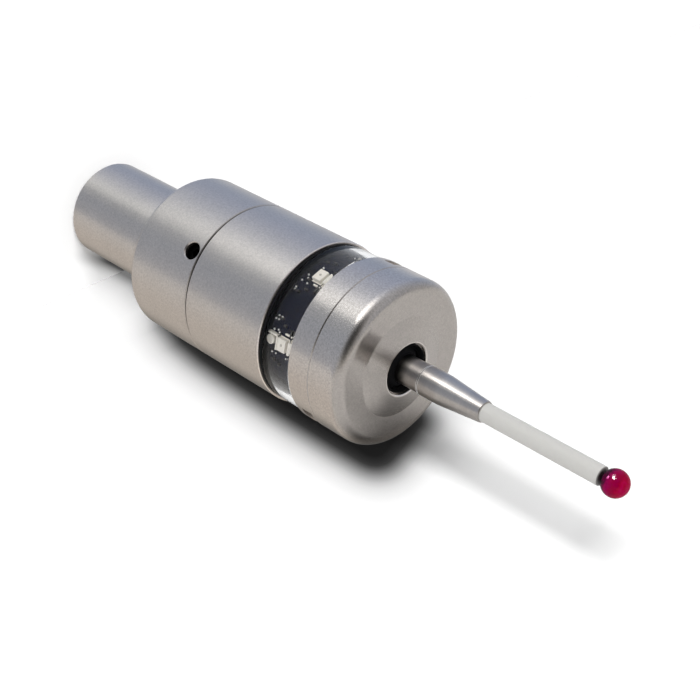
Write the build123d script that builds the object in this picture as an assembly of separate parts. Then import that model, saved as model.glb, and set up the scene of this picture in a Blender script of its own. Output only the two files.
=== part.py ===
# Touch probe for a machine tool: a shank adaptor, a probe body with a ring of infrared lights
# behind a window, a sprung ball-joint mechanism and a stylus with a ruby ball.
# Frame: millimetres, +Z along the probe from the shank to the stylus. The origin is the centre of
# the shank's rear face. +X goes through one of the four adjusting screws.
import os
from math import sqrt

from build123d import *

# How close two sizes are when they count as the same, in millimetres
SAME_SIZE = 0.001

# Shank adaptor
SHANK_RADIUS = 12.5
SHANK_LENGTH = 35.0
SHANK_CHAMFER = 0.8
BODY_RADIUS = 20.0
COLLAR_LENGTH = 21.2
COLLAR_REAR_ROUND = 1.2
COLLAR_GAP = 0.3
EDGE_CHAMFER = 0.2
CUP_WALL = 5.0
CUP_DEPTH = 8.0

# Adjusting screws, four around the collar
SCREW_COUNT = 4
SCREW_HOLE_RADIUS = 2.1
SCREW_SETBACK = 2.75
SCREW_RECESS = 1.8
SCREW_SOCKET_FLATS = 2.0
SCREW_SOCKET_DEPTH = 1.6
SCREW_HOLE_CHAMFER = 0.3
THREAD_CLEARANCE = 0.05

# Spigot of the probe, held in the adaptor's cup
SPIGOT_CLEARANCE = 0.5
SPIGOT_LENGTH = 5.3
GROOVE_DEPTH = 1.5
CENTRING_BALL_RADIUS = 2.5
BALL_SEAT_CLEARANCE = 0.05
SPIGOT_SCREW_COUNT = 3
SPIGOT_SCREW_FIRST_ANGLE = 45.0
SPIGOT_SCREW_INSET = 5.5
SPIGOT_SCREW_RADIUS = 1.5
SPIGOT_HEAD_RADIUS = 2.75
SPIGOT_HEAD_HEIGHT = 3.0
SPIGOT_SOCKET_FLATS = 2.5
SPIGOT_SOCKET_DEPTH = 1.5
SPIGOT_HEAD_SINK = 0.3
SPIGOT_HEAD_CLEARANCE = 0.15
SPIGOT_SCREW_BITE = 2.0

# Body sleeve and what it holds
SLEEVE_LENGTH = 25.35
SLEEVE_WALL = 1.6
FIT_CLEARANCE = 0.1
REAR_PLATE_SINK = 0.15
REAR_PLATE_THICKNESS = 2.4
SEAL_SECTION = 0.7
SEAL_CLEARANCE = 0.05
CONTACT_BOARD_THICKNESS = 0.8
CONTACT_BOARD_EDGE = 0.8
CONTACT_THICKNESS = 0.4
CONTACT_RADIUS = 4.0
CONTACT_STRIP_WIDTH = 5.0
CELL_LENGTH = 25.0
CELL_SPACING = 0.7
CELL_EDGE_GAP = 0.35
CELL_CLEARANCE = 0.15
CELL_END_GAP = 0.1
CELL_TERMINAL_RADIUS = 2.5
CELL_TERMINAL_HEIGHT = 1.0
CELL_EDGE_CHAMFER = 0.4
MAIN_BOARD_WALL = 1.3
MAIN_BOARD_THICKNESS = 0.8
MAIN_BOARD_WIDTH = 23.0
MAIN_BOARD_MARGIN = 1.2
BOARD_POCKET_DEPTH = 3.4
BOARD_POCKET_CLEARANCE = 0.3
# Packages on the main board: span across it, span up it and height off it
BOARD_PACKAGES = (
    ((-9.0, -2.0), (3.0, 10.0), 1.0),
    ((1.0, 5.0), (2.5, 5.5), 1.4),
    ((2.0, 8.0), (8.0, 12.0), 0.9),
    ((-8.0, -4.0), (12.0, 14.5), 1.2),
)

# Window section
WINDOW_SEAL_GAP = 0.8
WINDOW_SEAL_SECTION = 0.38
WINDOW_OPENING = 9.9
WINDOW_STEP = 0.5
WINDOW_WALL = 1.2
WINDOW_EDGE_ROUND = 0.35
GASKET_THICKNESS = 0.4
CORE_TAIL_LENGTH = 1.4
CORE_WALL = 0.9
CORE_SHOULDER_LENGTH = 2.3
CORE_NECK_WALL = 3.0
CORE_NECK_LENGTH = 3.4
FLEX_THICKNESS = 0.2
FLEX_MARGIN = 0.3

# Lights, receivers and chips on the flexible board
LIGHT_GROUPS = 6
LIGHT_FIRST_ANGLE = 30.0
LIGHT_WIDTH = 3.0
LIGHT_LENGTH = 2.7
LIGHT_HEIGHT = 1.15
LIGHT_ROOM = 0.75
LIGHT_LENS_RADIUS = 0.95
LIGHT_LENS_DEPTH = 0.2
LIGHT_DIE_SIZE = 0.5
LIGHT_DIE_HEIGHT = 0.1
LIGHT_PLACE = 5.1
LIGHT_PITCH = 2.85
BOARD_STANDOFF = 0.05
RECEIVER_GROUPS = 3
RECEIVER_WIDTH = 2.2
RECEIVER_LENGTH = 1.7
RECEIVER_HEIGHT = 0.6
RECEIVER_LENS_RADIUS = 0.75
RECEIVER_PLACE = 1.5
CHIP_HEIGHT = 0.45
CHIP_SMALL = (0.5, 0.9)
CHIP_LONG = (1.7, 0.5)
# Chips beside each group of lights: turn from the group, place from the sleeve and size
CHIP_PLACES = (
    (-10.5, 6.6, CHIP_LONG),
    (10.0, 6.9, CHIP_SMALL),
    (6.5, 3.4, CHIP_SMALL),
    (-6.0, 3.0, CHIP_SMALL),
    (-18.0, 1.5, CHIP_SMALL),
    (-18.0, 2.6, CHIP_SMALL),
    (-14.0, 4.2, CHIP_SMALL),
    (17.0, 2.1, CHIP_SMALL),
    (20.0, 3.6, CHIP_SMALL),
)

# Nose ring and front cap
NOSE_RING_LENGTH = 6.3
NOSE_RING_WALL = 1.95
SPANNER_SLOT_WIDTH = 3.0
SPANNER_SLOT_DEPTH = 1.2
SPANNER_SLOT_PLACE = 3.5
CAP_CYLINDER_LENGTH = 6.3
CAP_SHOULDER_ROUND = 2.8
CAP_ANNULUS_WIDTH = 5.1
CAP_HUB_HEIGHT = 1.6
CAP_HOLE_RADIUS = 6.2
CAP_HOLE_LIP = 0.45
CAP_HOLE_CHAMFER = 0.2
CAP_HOLE_STEP = 0.25
CAP_HOLE_STEP_DEPTH = 1.1
CAP_HUB_THICKNESS = 2.8
CAP_SKIRT_WALL = 1.25
CAP_CEILING_SINK = 1.2

# Rubber diaphragm that closes the front hole
DIAPHRAGM_THICKNESS = 0.5
DIAPHRAGM_RIM_WALL = 4.5
DIAPHRAGM_LIP = 0.5
DIAPHRAGM_LIP_HEIGHT = 1.3
DIAPHRAGM_CLEARANCE = 0.1
DIAPHRAGM_BUSH_GAP = 0.3
DIAPHRAGM_DISH_SLOPE = 0.65
CLAMP_RING_WALL = 2.8
CLAMP_RING_THICKNESS = 0.6

# Ball-joint mechanism
PIVOT_DEPTH = 6.5
BUSH_RADIUS = 5.5
BUSH_HALF_HEIGHT = 3.2
BUSH_BORE_CLEARANCE = 0.05
LINER_CLEARANCE = 0.1
LINER_THICKNESS = 0.8
LINER_HALF_HEIGHT = 2.4
SOCKET_FRONT = 2.4
SOCKET_SPLIT = -1.0
RETAINER_LIP = -2.2
RETAINER_REAR = -4.0
RETAINER_FLARE_RADIUS = 7.9
HOUSING_SIDE_WALL = 1.5
HOUSING_LEDGE = 1.5
HOUSING_FLANGE_CLEARANCE = 0.3
HOUSING_FLOOR = 1.3
SENSOR_BOARD_INSET = 1.0
SENSOR_BOARD_THICKNESS = 0.8
SENSOR_RADIUS = 2.5
SENSOR_HEIGHT = 2.3
SENSOR_CLEARANCE = 0.2
SENSOR_WINDOW_RADIUS = 0.8
SENSOR_WINDOW_DEPTH = 0.3
ADJUSTER_RADIUS = 6.0
ADJUSTER_THICKNESS = 1.4
ADJUSTER_SINK = 0.1
ADJUSTER_SLOT_WIDTH = 1.2
ADJUSTER_SLOT_DEPTH = 0.5
SPRING_CLEARANCE = 0.8
SPRING_WIRE_RADIUS = 0.3
SPRING_TURNS = 4.0
SPRING_END_GAP = 0.1

# Stylus and its holder
SEAT_HEIGHT = 58.3
HOLDER_STEP = 0.1
HOLDER_FLANGE_WIDTH = 1.0
HOLDER_FLANGE_THICKNESS = 1.15
HOLDER_FLANGE_GAP = 0.05
HOLDER_TAIL_WALL = 0.4
HOLDER_TAIL_LENGTH = 1.4
HOLDER_CHAMFER = 0.25
LENS_RADIUS = 1.9
LENS_THICKNESS = 0.7
LENS_CROWN = 0.3
STUD_RADIUS = 1.95
STUD_LENGTH = 6.0
STUD_CLEARANCE = 0.1
STYLUS_LENGTH = 50.0
BASE_RADIUS = 3.5
BASE_STRAIGHT = 5.3
BASE_LENGTH = 16.6
BASE_TIP_WALL = 0.25
BASE_TIP_CHAMFER = 0.15
STEM_RADIUS = 2.15
STEM_SOCKET_DEPTH = 4.0
STEM_END_GAP = 0.1
STEM_CLEARANCE = 0.03
BALL_RADIUS = 3.0
PEG_RADIUS = 0.8
PEG_LENGTH = 1.6

# Places along the axis, worked out from the sizes above
Z_SHOULDER = SHANK_LENGTH
Z_COLLAR_FRONT = Z_SHOULDER + COLLAR_LENGTH
Z_REAR = Z_COLLAR_FRONT + COLLAR_GAP / 2
Z_SLEEVE = Z_COLLAR_FRONT + COLLAR_GAP
Z_SLEEVE_FRONT = Z_SLEEVE + SLEEVE_LENGTH
Z_NOSE = Z_SLEEVE_FRONT + WINDOW_OPENING
Z_CAP = Z_NOSE + NOSE_RING_LENGTH
Z_ANNULUS = Z_CAP + CAP_CYLINDER_LENGTH + CAP_SHOULDER_ROUND
Z_FRONT = Z_ANNULUS + CAP_HUB_HEIGHT
Z_CEILING = Z_FRONT - CAP_HUB_THICKNESS
Z_SEAT = Z_REAR + SEAT_HEIGHT
Z_BALL = Z_SEAT + STYLUS_LENGTH
Z_CUP_FLOOR = Z_COLLAR_FRONT - CUP_DEPTH
Z_SCREWS = Z_COLLAR_FRONT - SCREW_SETBACK
Z_SPIGOT = Z_SLEEVE - SPIGOT_LENGTH
Z_PLATE = Z_SLEEVE + REAR_PLATE_SINK
Z_PLATE_FRONT = Z_PLATE + REAR_PLATE_THICKNESS
Z_HOLDER = Z_PLATE_FRONT + CONTACT_BOARD_THICKNESS
Z_CELLS = Z_HOLDER + CONTACT_THICKNESS + CELL_END_GAP
Z_CELLS_FRONT = Z_CELLS + CELL_LENGTH
Z_CORE = Z_SLEEVE_FRONT - CORE_TAIL_LENGTH
Z_SENSOR_BOARD = Z_CELLS_FRONT + CONTACT_THICKNESS
Z_HOUSING = Z_SENSOR_BOARD + SENSOR_BOARD_THICKNESS + SENSOR_CLEARANCE
Z_ADJUSTER_FRONT = Z_HOUSING + ADJUSTER_SINK + ADJUSTER_THICKNESS
Z_PIVOT = Z_FRONT - PIVOT_DEPTH
Z_SOCKET_FRONT = Z_PIVOT + SOCKET_FRONT
Z_SOCKET_REAR = Z_PIVOT + RETAINER_REAR
Z_CORE_FRONT = Z_NOSE + CORE_SHOULDER_LENGTH + CORE_NECK_LENGTH
Z_FLANGE_FRONT = Z_PIVOT - BUSH_HALF_HEIGHT - HOLDER_FLANGE_GAP
Z_FLANGE_REAR = Z_FLANGE_FRONT - HOLDER_FLANGE_THICKNESS

# Radii that follow from the sizes above, from the outside in
CUP_RADIUS = BODY_RADIUS - CUP_WALL
SPIGOT_RADIUS = CUP_RADIUS - SPIGOT_CLEARANCE
SPIGOT_SCREW_CIRCLE = SPIGOT_RADIUS - SPIGOT_SCREW_INSET
SLEEVE_BORE = BODY_RADIUS - SLEEVE_WALL
INNER_RADIUS = SLEEVE_BORE - FIT_CLEARANCE
WINDOW_RADIUS = BODY_RADIUS - WINDOW_STEP
WINDOW_BORE = WINDOW_RADIUS - WINDOW_WALL
BOARD_FACE = WINDOW_BORE - LIGHT_ROOM - LIGHT_HEIGHT
FLEX_RADIUS = BOARD_FACE - BOARD_STANDOFF - FLEX_THICKNESS
CORE_RADIUS = FLEX_RADIUS - SEAL_CLEARANCE
CORE_BORE_RADIUS = CORE_RADIUS - CORE_WALL
NOSE_RING_BORE = BODY_RADIUS - NOSE_RING_WALL
SKIRT_RADIUS = NOSE_RING_BORE - FIT_CLEARANCE
CORE_SHOULDER_RADIUS = SKIRT_RADIUS
CAP_BORE = SKIRT_RADIUS - CAP_SKIRT_WALL
CORE_NECK_RADIUS = CAP_BORE - FIT_CLEARANCE
HOUSING_FLANGE_RADIUS = CAP_BORE - HOUSING_FLANGE_CLEARANCE
HOUSING_RADIUS = CORE_NECK_RADIUS - CORE_NECK_WALL - FIT_CLEARANCE
HOUSING_SEAT_RADIUS = HOUSING_RADIUS - HOUSING_SIDE_WALL
HOUSING_BORE_RADIUS = HOUSING_SEAT_RADIUS - HOUSING_LEDGE
SENSOR_BOARD_RADIUS = HOUSING_RADIUS - SENSOR_BOARD_INSET
CAP_HUB_RADIUS = BODY_RADIUS - CAP_SHOULDER_ROUND - CAP_ANNULUS_WIDTH
DIAPHRAGM_RADIUS = CAP_BORE - DIAPHRAGM_RIM_WALL - FIT_CLEARANCE
LINER_BORE = BUSH_RADIUS + LINER_CLEARANCE
LINER_RADIUS = LINER_BORE + LINER_THICKNESS
SOCKET_RADIUS = LINER_RADIUS + LINER_CLEARANCE
HOLDER_RADIUS = BASE_RADIUS - HOLDER_STEP
HOLDER_FLANGE_RADIUS = HOLDER_RADIUS + HOLDER_FLANGE_WIDTH
HOLDER_TAIL_RADIUS = LENS_RADIUS + STUD_CLEARANCE + HOLDER_TAIL_WALL
SPRING_RADIUS = HOLDER_TAIL_RADIUS + SPRING_CLEARANCE + SPRING_WIRE_RADIUS
BASE_TIP_RADIUS = STEM_RADIUS + BASE_TIP_WALL

# Cells and main board beside each other, inside the core's bore
CELL_RADIUS = (CORE_BORE_RADIUS - CELL_EDGE_GAP - CELL_SPACING / 2) / 2
CELL_SPREAD = CELL_RADIUS + CELL_SPACING / 2
MAIN_BOARD_OFFSET = CELL_RADIUS + CELL_CLEARANCE + MAIN_BOARD_WALL + BOARD_POCKET_CLEARANCE


def profile(*edges):
    """A closed face in the XZ plane from edges that follow each other."""
    return make_face(Wire(edges))


def polygon(*points):
    """A closed face in the XZ plane from (radius, height) corners."""
    return make_face(Polyline(*[(r, 0, z) for r, z in points], close=True))


def turned(*points):
    """A solid turned about Z from (radius, height) corners."""
    return revolve(polygon(*points), axis=Axis.Z)


def tube(outer, inner, bottom, top):
    """A plain ring, or a disc where the inner radius is 0."""
    return turned((inner, bottom), (outer, bottom), (outer, top), (inner, top))


def ring_seal(radius, section, height):
    """A round rubber ring: its middle radius, its section's radius and its height."""
    return Pos(0, 0, height) * Torus(radius, section)


def on_sphere(radius, height):
    """The (radius, height) of a point on a sphere about the pivot."""
    return sqrt(radius**2 - height**2), Z_PIVOT + height


def sphere_arc(radius, start, end):
    """An arc about the pivot, in the XZ plane, between two heights from it."""
    middle = (start + end) / 2
    points = [on_sphere(radius, height) for height in (start, middle, end)]
    return ThreePointArc(*[(r, 0, z) for r, z in points])


def line(start, end):
    """A straight edge in the XZ plane between two (radius, height) points."""
    return Line((start[0], 0, start[1]), (end[0], 0, end[1]))


def box_at(x, y, z):
    """A block given by its low and high corners."""
    size = [high - low for low, high in (x, y, z)]
    middle = [(low + high) / 2 for low, high in (x, y, z)]
    return Pos(*middle) * Box(*size)


def around(piece, count, first=0.0):
    """Copies of a piece, evenly spaced about Z."""
    return [Rot(0, 0, first + 360.0 / count * i) * piece for i in range(count)]


def radial(piece, height, angle=0.0):
    """A piece made along +Z, turned to point out along +X at a height and angle."""
    return Rot(0, 0, angle) * Pos(0, 0, height) * Rot(0, 90, 0) * piece


def hex_socket(flats, depth):
    """A hexagonal recess along +Z, given by its size across flats."""
    return extrude(RegularPolygon(flats / 2, 6, major_radius=False), depth)


def rims(piece, radius):
    """The round edges of a piece that have a given radius."""
    circles = piece.edges().filter_by(GeomType.CIRCLE)
    return circles.filter_by(lambda edge: abs(edge.radius - radius) < SAME_SIZE)


def make_shank_adaptor():
    """Plain shank, collar and the cup that takes the probe's spigot."""
    body = turned(
        (0, 0),
        (SHANK_RADIUS - SHANK_CHAMFER, 0),
        (SHANK_RADIUS, SHANK_CHAMFER),
        (SHANK_RADIUS, Z_SHOULDER),
        (BODY_RADIUS, Z_SHOULDER),
        (BODY_RADIUS, Z_COLLAR_FRONT - EDGE_CHAMFER),
        (BODY_RADIUS - EDGE_CHAMFER, Z_COLLAR_FRONT),
        (CUP_RADIUS, Z_COLLAR_FRONT),
        (CUP_RADIUS, Z_CUP_FLOOR),
        (0, Z_CUP_FLOOR),
    )
    rear_edge = rims(body, BODY_RADIUS).sort_by(Axis.Z)[0]
    body = fillet(rear_edge, COLLAR_REAR_ROUND)
    body -= ball_seat(Z_CUP_FLOOR, -1)
    for drill in around(radial(screw_drill(), Z_SCREWS), SCREW_COUNT):
        body -= drill
    return body


def screw_drill():
    """Cutter for an adjusting screw's hole, along +Z, with its countersink at the collar's surface."""
    sink = BODY_RADIUS - SCREW_HOLE_CHAMFER
    mouth = SCREW_HOLE_RADIUS + 2 * SCREW_HOLE_CHAMFER
    return turned(
        (0, SPIGOT_RADIUS),
        (SCREW_HOLE_RADIUS, SPIGOT_RADIUS),
        (SCREW_HOLE_RADIUS, sink),
        (mouth, BODY_RADIUS + SCREW_HOLE_CHAMFER),
        (0, BODY_RADIUS + SCREW_HOLE_CHAMFER),
    )


def ball_seat(face, side):
    """Cone pocket for the centring ball, into a face below (-1) or above (+1) the ball."""
    half_gap = (Z_SPIGOT - Z_CUP_FLOOR) / 2
    mouth = (CENTRING_BALL_RADIUS + BALL_SEAT_CLEARANCE) * sqrt(2) - half_gap
    return turned((0, face), (mouth, face), (0, face + side * mouth))


def make_adjusting_screws():
    """Four grub screws with cone points that press into the spigot's groove."""
    radius = SCREW_HOLE_RADIUS - THREAD_CLEARANCE
    outer = BODY_RADIUS - SCREW_RECESS
    point = SPIGOT_RADIUS - GROOVE_DEPTH + THREAD_CLEARANCE
    screw = turned((0, point), (radius, point + radius), (radius, outer), (0, outer))
    screw -= Pos(0, 0, outer - SCREW_SOCKET_DEPTH) * hex_socket(SCREW_SOCKET_FLATS, SCREW_SOCKET_DEPTH)
    return around(radial(screw, Z_SCREWS), SCREW_COUNT)


def make_centring_ball():
    """Hard ball between the adaptor and the spigot, about which the probe is set true."""
    return Pos(0, 0, (Z_CUP_FLOOR + Z_SPIGOT) / 2) * Sphere(CENTRING_BALL_RADIUS)


def spigot_screw_places():
    """Turns that put a piece at each spigot screw."""
    step = 360.0 / SPIGOT_SCREW_COUNT
    first = SPIGOT_SCREW_FIRST_ANGLE
    return [Rot(0, 0, first + step * i) * Pos(SPIGOT_SCREW_CIRCLE, 0, 0) for i in range(SPIGOT_SCREW_COUNT)]


def make_mounting_spigot():
    """Disc behind the probe with a V groove for the screw points."""
    body = turned(
        (0, Z_SPIGOT),
        (SPIGOT_RADIUS - EDGE_CHAMFER, Z_SPIGOT),
        (SPIGOT_RADIUS, Z_SPIGOT + EDGE_CHAMFER),
        (SPIGOT_RADIUS, Z_SCREWS - GROOVE_DEPTH),
        (SPIGOT_RADIUS - GROOVE_DEPTH, Z_SCREWS),
        (SPIGOT_RADIUS, Z_SCREWS + GROOVE_DEPTH),
        (SPIGOT_RADIUS, Z_PLATE),
        (0, Z_PLATE),
    )
    body -= ball_seat(Z_SPIGOT, 1)
    head_depth = SPIGOT_HEAD_SINK + SPIGOT_HEAD_HEIGHT
    for place in spigot_screw_places():
        body -= place * tube(SPIGOT_SCREW_RADIUS + THREAD_CLEARANCE, 0, Z_SPIGOT, Z_PLATE)
        body -= place * tube(SPIGOT_HEAD_RADIUS + SPIGOT_HEAD_CLEARANCE, 0, Z_SPIGOT, Z_SPIGOT + head_depth)
    return body


def make_spigot_screws():
    """Cap screws that hold the spigot to the rear plate."""
    head = Z_SPIGOT + SPIGOT_HEAD_SINK
    neck = head + SPIGOT_HEAD_HEIGHT
    end = Z_PLATE + SPIGOT_SCREW_BITE
    screw = turned(
        (0, head),
        (SPIGOT_HEAD_RADIUS, head),
        (SPIGOT_HEAD_RADIUS, neck),
        (SPIGOT_SCREW_RADIUS, neck),
        (SPIGOT_SCREW_RADIUS, end),
        (0, end),
    )
    screw -= Pos(0, 0, head) * hex_socket(SPIGOT_SOCKET_FLATS, SPIGOT_SOCKET_DEPTH)
    return [place * screw for place in spigot_screw_places()]


def seal_groove_radius():
    """Middle radius of the rear seal, which just meets the sleeve's bore."""
    return SLEEVE_BORE - SEAL_CLEARANCE - SEAL_SECTION


def make_rear_plate():
    """Plate that closes the sleeve, with a groove for the rear seal."""
    radius = INNER_RADIUS
    floor = seal_groove_radius() - SEAL_SECTION - SEAL_CLEARANCE
    middle = (Z_PLATE + Z_PLATE_FRONT) / 2
    half = SEAL_SECTION + SEAL_CLEARANCE
    body = turned(
        (0, Z_PLATE),
        (radius, Z_PLATE),
        (radius, middle - half),
        (floor, middle - half),
        (floor, middle + half),
        (radius, middle + half),
        (radius, Z_PLATE_FRONT),
        (0, Z_PLATE_FRONT),
    )
    depth = SPIGOT_SCREW_BITE + THREAD_CLEARANCE
    for place in spigot_screw_places():
        body -= place * tube(SPIGOT_SCREW_RADIUS + THREAD_CLEARANCE, 0, Z_PLATE, Z_PLATE + depth)
    return body


def make_rear_seal():
    """Rubber ring in the rear plate's groove."""
    return ring_seal(seal_groove_radius(), SEAL_SECTION, (Z_PLATE + Z_PLATE_FRONT) / 2)


def make_body_sleeve():
    """Steel sleeve around the cells and the main board."""
    return turned(
        (SLEEVE_BORE, Z_SLEEVE),
        (BODY_RADIUS - EDGE_CHAMFER, Z_SLEEVE),
        (BODY_RADIUS, Z_SLEEVE + EDGE_CHAMFER),
        (BODY_RADIUS, Z_SLEEVE_FRONT - EDGE_CHAMFER),
        (BODY_RADIUS - EDGE_CHAMFER, Z_SLEEVE_FRONT),
        (SLEEVE_BORE, Z_SLEEVE_FRONT),
    )


def make_contact_board():
    """Round board behind the cells."""
    return tube(INNER_RADIUS - CONTACT_BOARD_EDGE, 0, Z_PLATE_FRONT, Z_HOLDER)


def cell_places():
    """The two cells' axes, side by side."""
    return [Pos(0, side * CELL_SPREAD, 0) for side in (-1, 1)]


def board_pocket(bottom, top):
    """Room for the main board and its parts."""
    half = MAIN_BOARD_WIDTH / 2 + BOARD_POCKET_CLEARANCE
    low = MAIN_BOARD_OFFSET - BOARD_POCKET_CLEARANCE
    return box_at((low, low + BOARD_POCKET_DEPTH), (-half, half), (bottom, top))


def make_battery_holder():
    """Moulded block with a bore for each cell and a pocket for the board."""
    top = Z_CORE - FIT_CLEARANCE
    body = tube(INNER_RADIUS, 0, Z_HOLDER, top)
    for place in cell_places():
        body -= place * tube(CELL_RADIUS + CELL_CLEARANCE, 0, Z_HOLDER, top)
    return body - board_pocket(Z_HOLDER + MAIN_BOARD_MARGIN, top)


def make_battery_cells():
    """Two half-length cells."""
    shoulder = Z_CELLS_FRONT - CELL_TERMINAL_HEIGHT
    cell = turned(
        (0, Z_CELLS),
        (CELL_RADIUS, Z_CELLS),
        (CELL_RADIUS, shoulder - CELL_EDGE_CHAMFER),
        (CELL_RADIUS - CELL_EDGE_CHAMFER, shoulder),
        (CELL_TERMINAL_RADIUS, shoulder),
        (CELL_TERMINAL_RADIUS, Z_CELLS_FRONT),
        (0, Z_CELLS_FRONT),
    )
    return [place * cell for place in cell_places()]


def make_battery_contacts():
    """Two rear pads and the front strip that joins the cells."""
    pads = [place * tube(CONTACT_RADIUS, 0, Z_HOLDER, Z_HOLDER + CONTACT_THICKNESS) for place in cell_places()]
    half_width = CONTACT_STRIP_WIDTH / 2
    reach = CELL_SPREAD + CELL_TERMINAL_RADIUS
    strip = box_at((-half_width, half_width), (-reach, reach), (Z_CELLS_FRONT, Z_SENSOR_BOARD))
    return pads + [strip]


def make_main_board():
    """Circuit board that stands beside the cells."""
    half = MAIN_BOARD_WIDTH / 2
    back = MAIN_BOARD_OFFSET
    bottom = Z_HOLDER + MAIN_BOARD_MARGIN
    top = Z_CORE - FIT_CLEARANCE - MAIN_BOARD_MARGIN
    return box_at((back, back + MAIN_BOARD_THICKNESS), (-half, half), (bottom, top))


def make_board_parts():
    """Processor, crystal and driver packages on the main board."""
    face = MAIN_BOARD_OFFSET + MAIN_BOARD_THICKNESS
    bottom = Z_HOLDER + MAIN_BOARD_MARGIN
    return [
        box_at((face, face + height), across, (bottom + low, bottom + high))
        for across, (low, high), height in BOARD_PACKAGES
    ]


def make_window_core():
    """Aluminium core: carries the flexible board, and holds sleeve, window and nose together."""
    shoulder_front = Z_NOSE + CORE_SHOULDER_LENGTH
    return turned(
        (CORE_BORE_RADIUS, Z_CORE),
        (INNER_RADIUS, Z_CORE),
        (INNER_RADIUS, Z_SLEEVE_FRONT + FIT_CLEARANCE),
        (CORE_RADIUS, Z_SLEEVE_FRONT + FIT_CLEARANCE),
        (CORE_RADIUS, Z_NOSE - FLEX_MARGIN),
        (CORE_SHOULDER_RADIUS, Z_NOSE - FLEX_MARGIN),
        (CORE_SHOULDER_RADIUS, shoulder_front),
        (CORE_NECK_RADIUS, shoulder_front),
        (CORE_NECK_RADIUS, Z_CORE_FRONT),
        (HOUSING_RADIUS + FIT_CLEARANCE, Z_CORE_FRONT),
        (HOUSING_RADIUS + FIT_CLEARANCE, Z_HOUSING),
        (CORE_BORE_RADIUS, Z_HOUSING),
    )


def flex_bottom():
    return Z_SLEEVE_FRONT + FLEX_MARGIN


def make_flexible_board():
    """Circuit wrapped around the core."""
    return tube(FLEX_RADIUS + FLEX_THICKNESS, FLEX_RADIUS, flex_bottom(), Z_NOSE - 2 * FLEX_MARGIN)


def group_angles():
    return [LIGHT_FIRST_ANGLE + 360.0 / LIGHT_GROUPS * i for i in range(LIGHT_GROUPS)]


def group_side(angle):
    """Groups lie as mirror images on either side of +X: which way round this one is."""
    return 1 if 0 < angle < 180 else -1


def on_board(piece, angle, place):
    """A part made flat on +X at the board's face, put at an angle and a distance from the sleeve."""
    return Rot(0, 0, angle) * Pos(BOARD_FACE, 0, Z_SLEEVE_FRONT + place) * piece


def make_infrared_lights():
    """Square ceramic light packages, two in line at each group."""
    half_width = LIGHT_WIDTH / 2
    half_length = LIGHT_LENGTH / 2
    package = box_at((0, LIGHT_HEIGHT), (-half_width, half_width), (-half_length, half_length))
    floor = LIGHT_HEIGHT - LIGHT_LENS_DEPTH
    package -= Pos(floor, 0, 0) * Rot(0, 90, 0) * Cylinder(
        LIGHT_LENS_RADIUS, LIGHT_LENS_DEPTH * 2, align=(Align.CENTER, Align.CENTER, Align.MIN)
    )
    half_die = LIGHT_DIE_SIZE / 2
    package += box_at((floor, floor + LIGHT_DIE_HEIGHT), (-half_die, half_die), (-half_die, half_die))
    return [
        on_board(package, angle, LIGHT_PLACE + LIGHT_PITCH * row)
        for angle in group_angles()
        for row in (0, 1)
    ]


def make_receivers():
    """Receivers with a round lens, at every second group."""
    half_width = RECEIVER_WIDTH / 2
    half_length = RECEIVER_LENGTH / 2
    package = box_at((0, RECEIVER_HEIGHT), (-half_width, half_width), (-half_length, half_length))
    lens = Sphere(RECEIVER_LENS_RADIUS, arc_size1=0)
    package += Pos(RECEIVER_HEIGHT, 0, 0) * Rot(0, 90, 0) * lens
    step = LIGHT_GROUPS // RECEIVER_GROUPS
    return [on_board(package, angle, RECEIVER_PLACE) for angle in group_angles()[::step]]


def chip(size):
    """A flat chip given by its width around the board and its length along the probe."""
    width, length = size
    return box_at((0, CHIP_HEIGHT), (-width / 2, width / 2), (-length / 2, length / 2))


def make_chip_parts():
    """Small chip resistors and capacitors between the lights."""
    chips = []
    for angle in group_angles():
        side = group_side(angle)
        for turn, place, size in CHIP_PLACES:
            chips.append(on_board(chip(size), angle + side * turn, place))
    return chips


def make_window():
    """Clear ring with softly rounded edges."""
    bottom = Z_SLEEVE_FRONT + WINDOW_SEAL_GAP
    top = Z_NOSE - GASKET_THICKNESS
    ring = tube(WINDOW_RADIUS, WINDOW_BORE, bottom, top)
    return fillet(rims(ring, WINDOW_RADIUS), WINDOW_EDGE_ROUND)


def make_window_rear_seal():
    """Black ring between the sleeve and the window."""
    middle = WINDOW_RADIUS - WINDOW_SEAL_SECTION
    return ring_seal(middle, WINDOW_SEAL_SECTION, Z_SLEEVE_FRONT + WINDOW_SEAL_GAP / 2)


def make_window_gasket():
    """Flat gasket between the window and the nose ring."""
    return tube(WINDOW_RADIUS - EDGE_CHAMFER, WINDOW_BORE, Z_NOSE - GASKET_THICKNESS, Z_NOSE)


def make_nose_ring():
    """Steel ring in front of the window, with a spanner slot on each side."""
    body = turned(
        (NOSE_RING_BORE, Z_NOSE),
        (BODY_RADIUS - EDGE_CHAMFER, Z_NOSE),
        (BODY_RADIUS, Z_NOSE + EDGE_CHAMFER),
        (BODY_RADIUS, Z_CAP - EDGE_CHAMFER),
        (BODY_RADIUS - EDGE_CHAMFER, Z_CAP),
        (NOSE_RING_BORE, Z_CAP),
    )
    middle = Z_NOSE + SPANNER_SLOT_PLACE
    low = middle - SPANNER_SLOT_WIDTH / 2
    floor = BODY_RADIUS - SPANNER_SLOT_DEPTH
    for near, far in ((floor, BODY_RADIUS), (-BODY_RADIUS, -floor)):
        body -= box_at((-BODY_RADIUS, BODY_RADIUS), (near, far), (low, low + SPANNER_SLOT_WIDTH))
    return body


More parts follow.
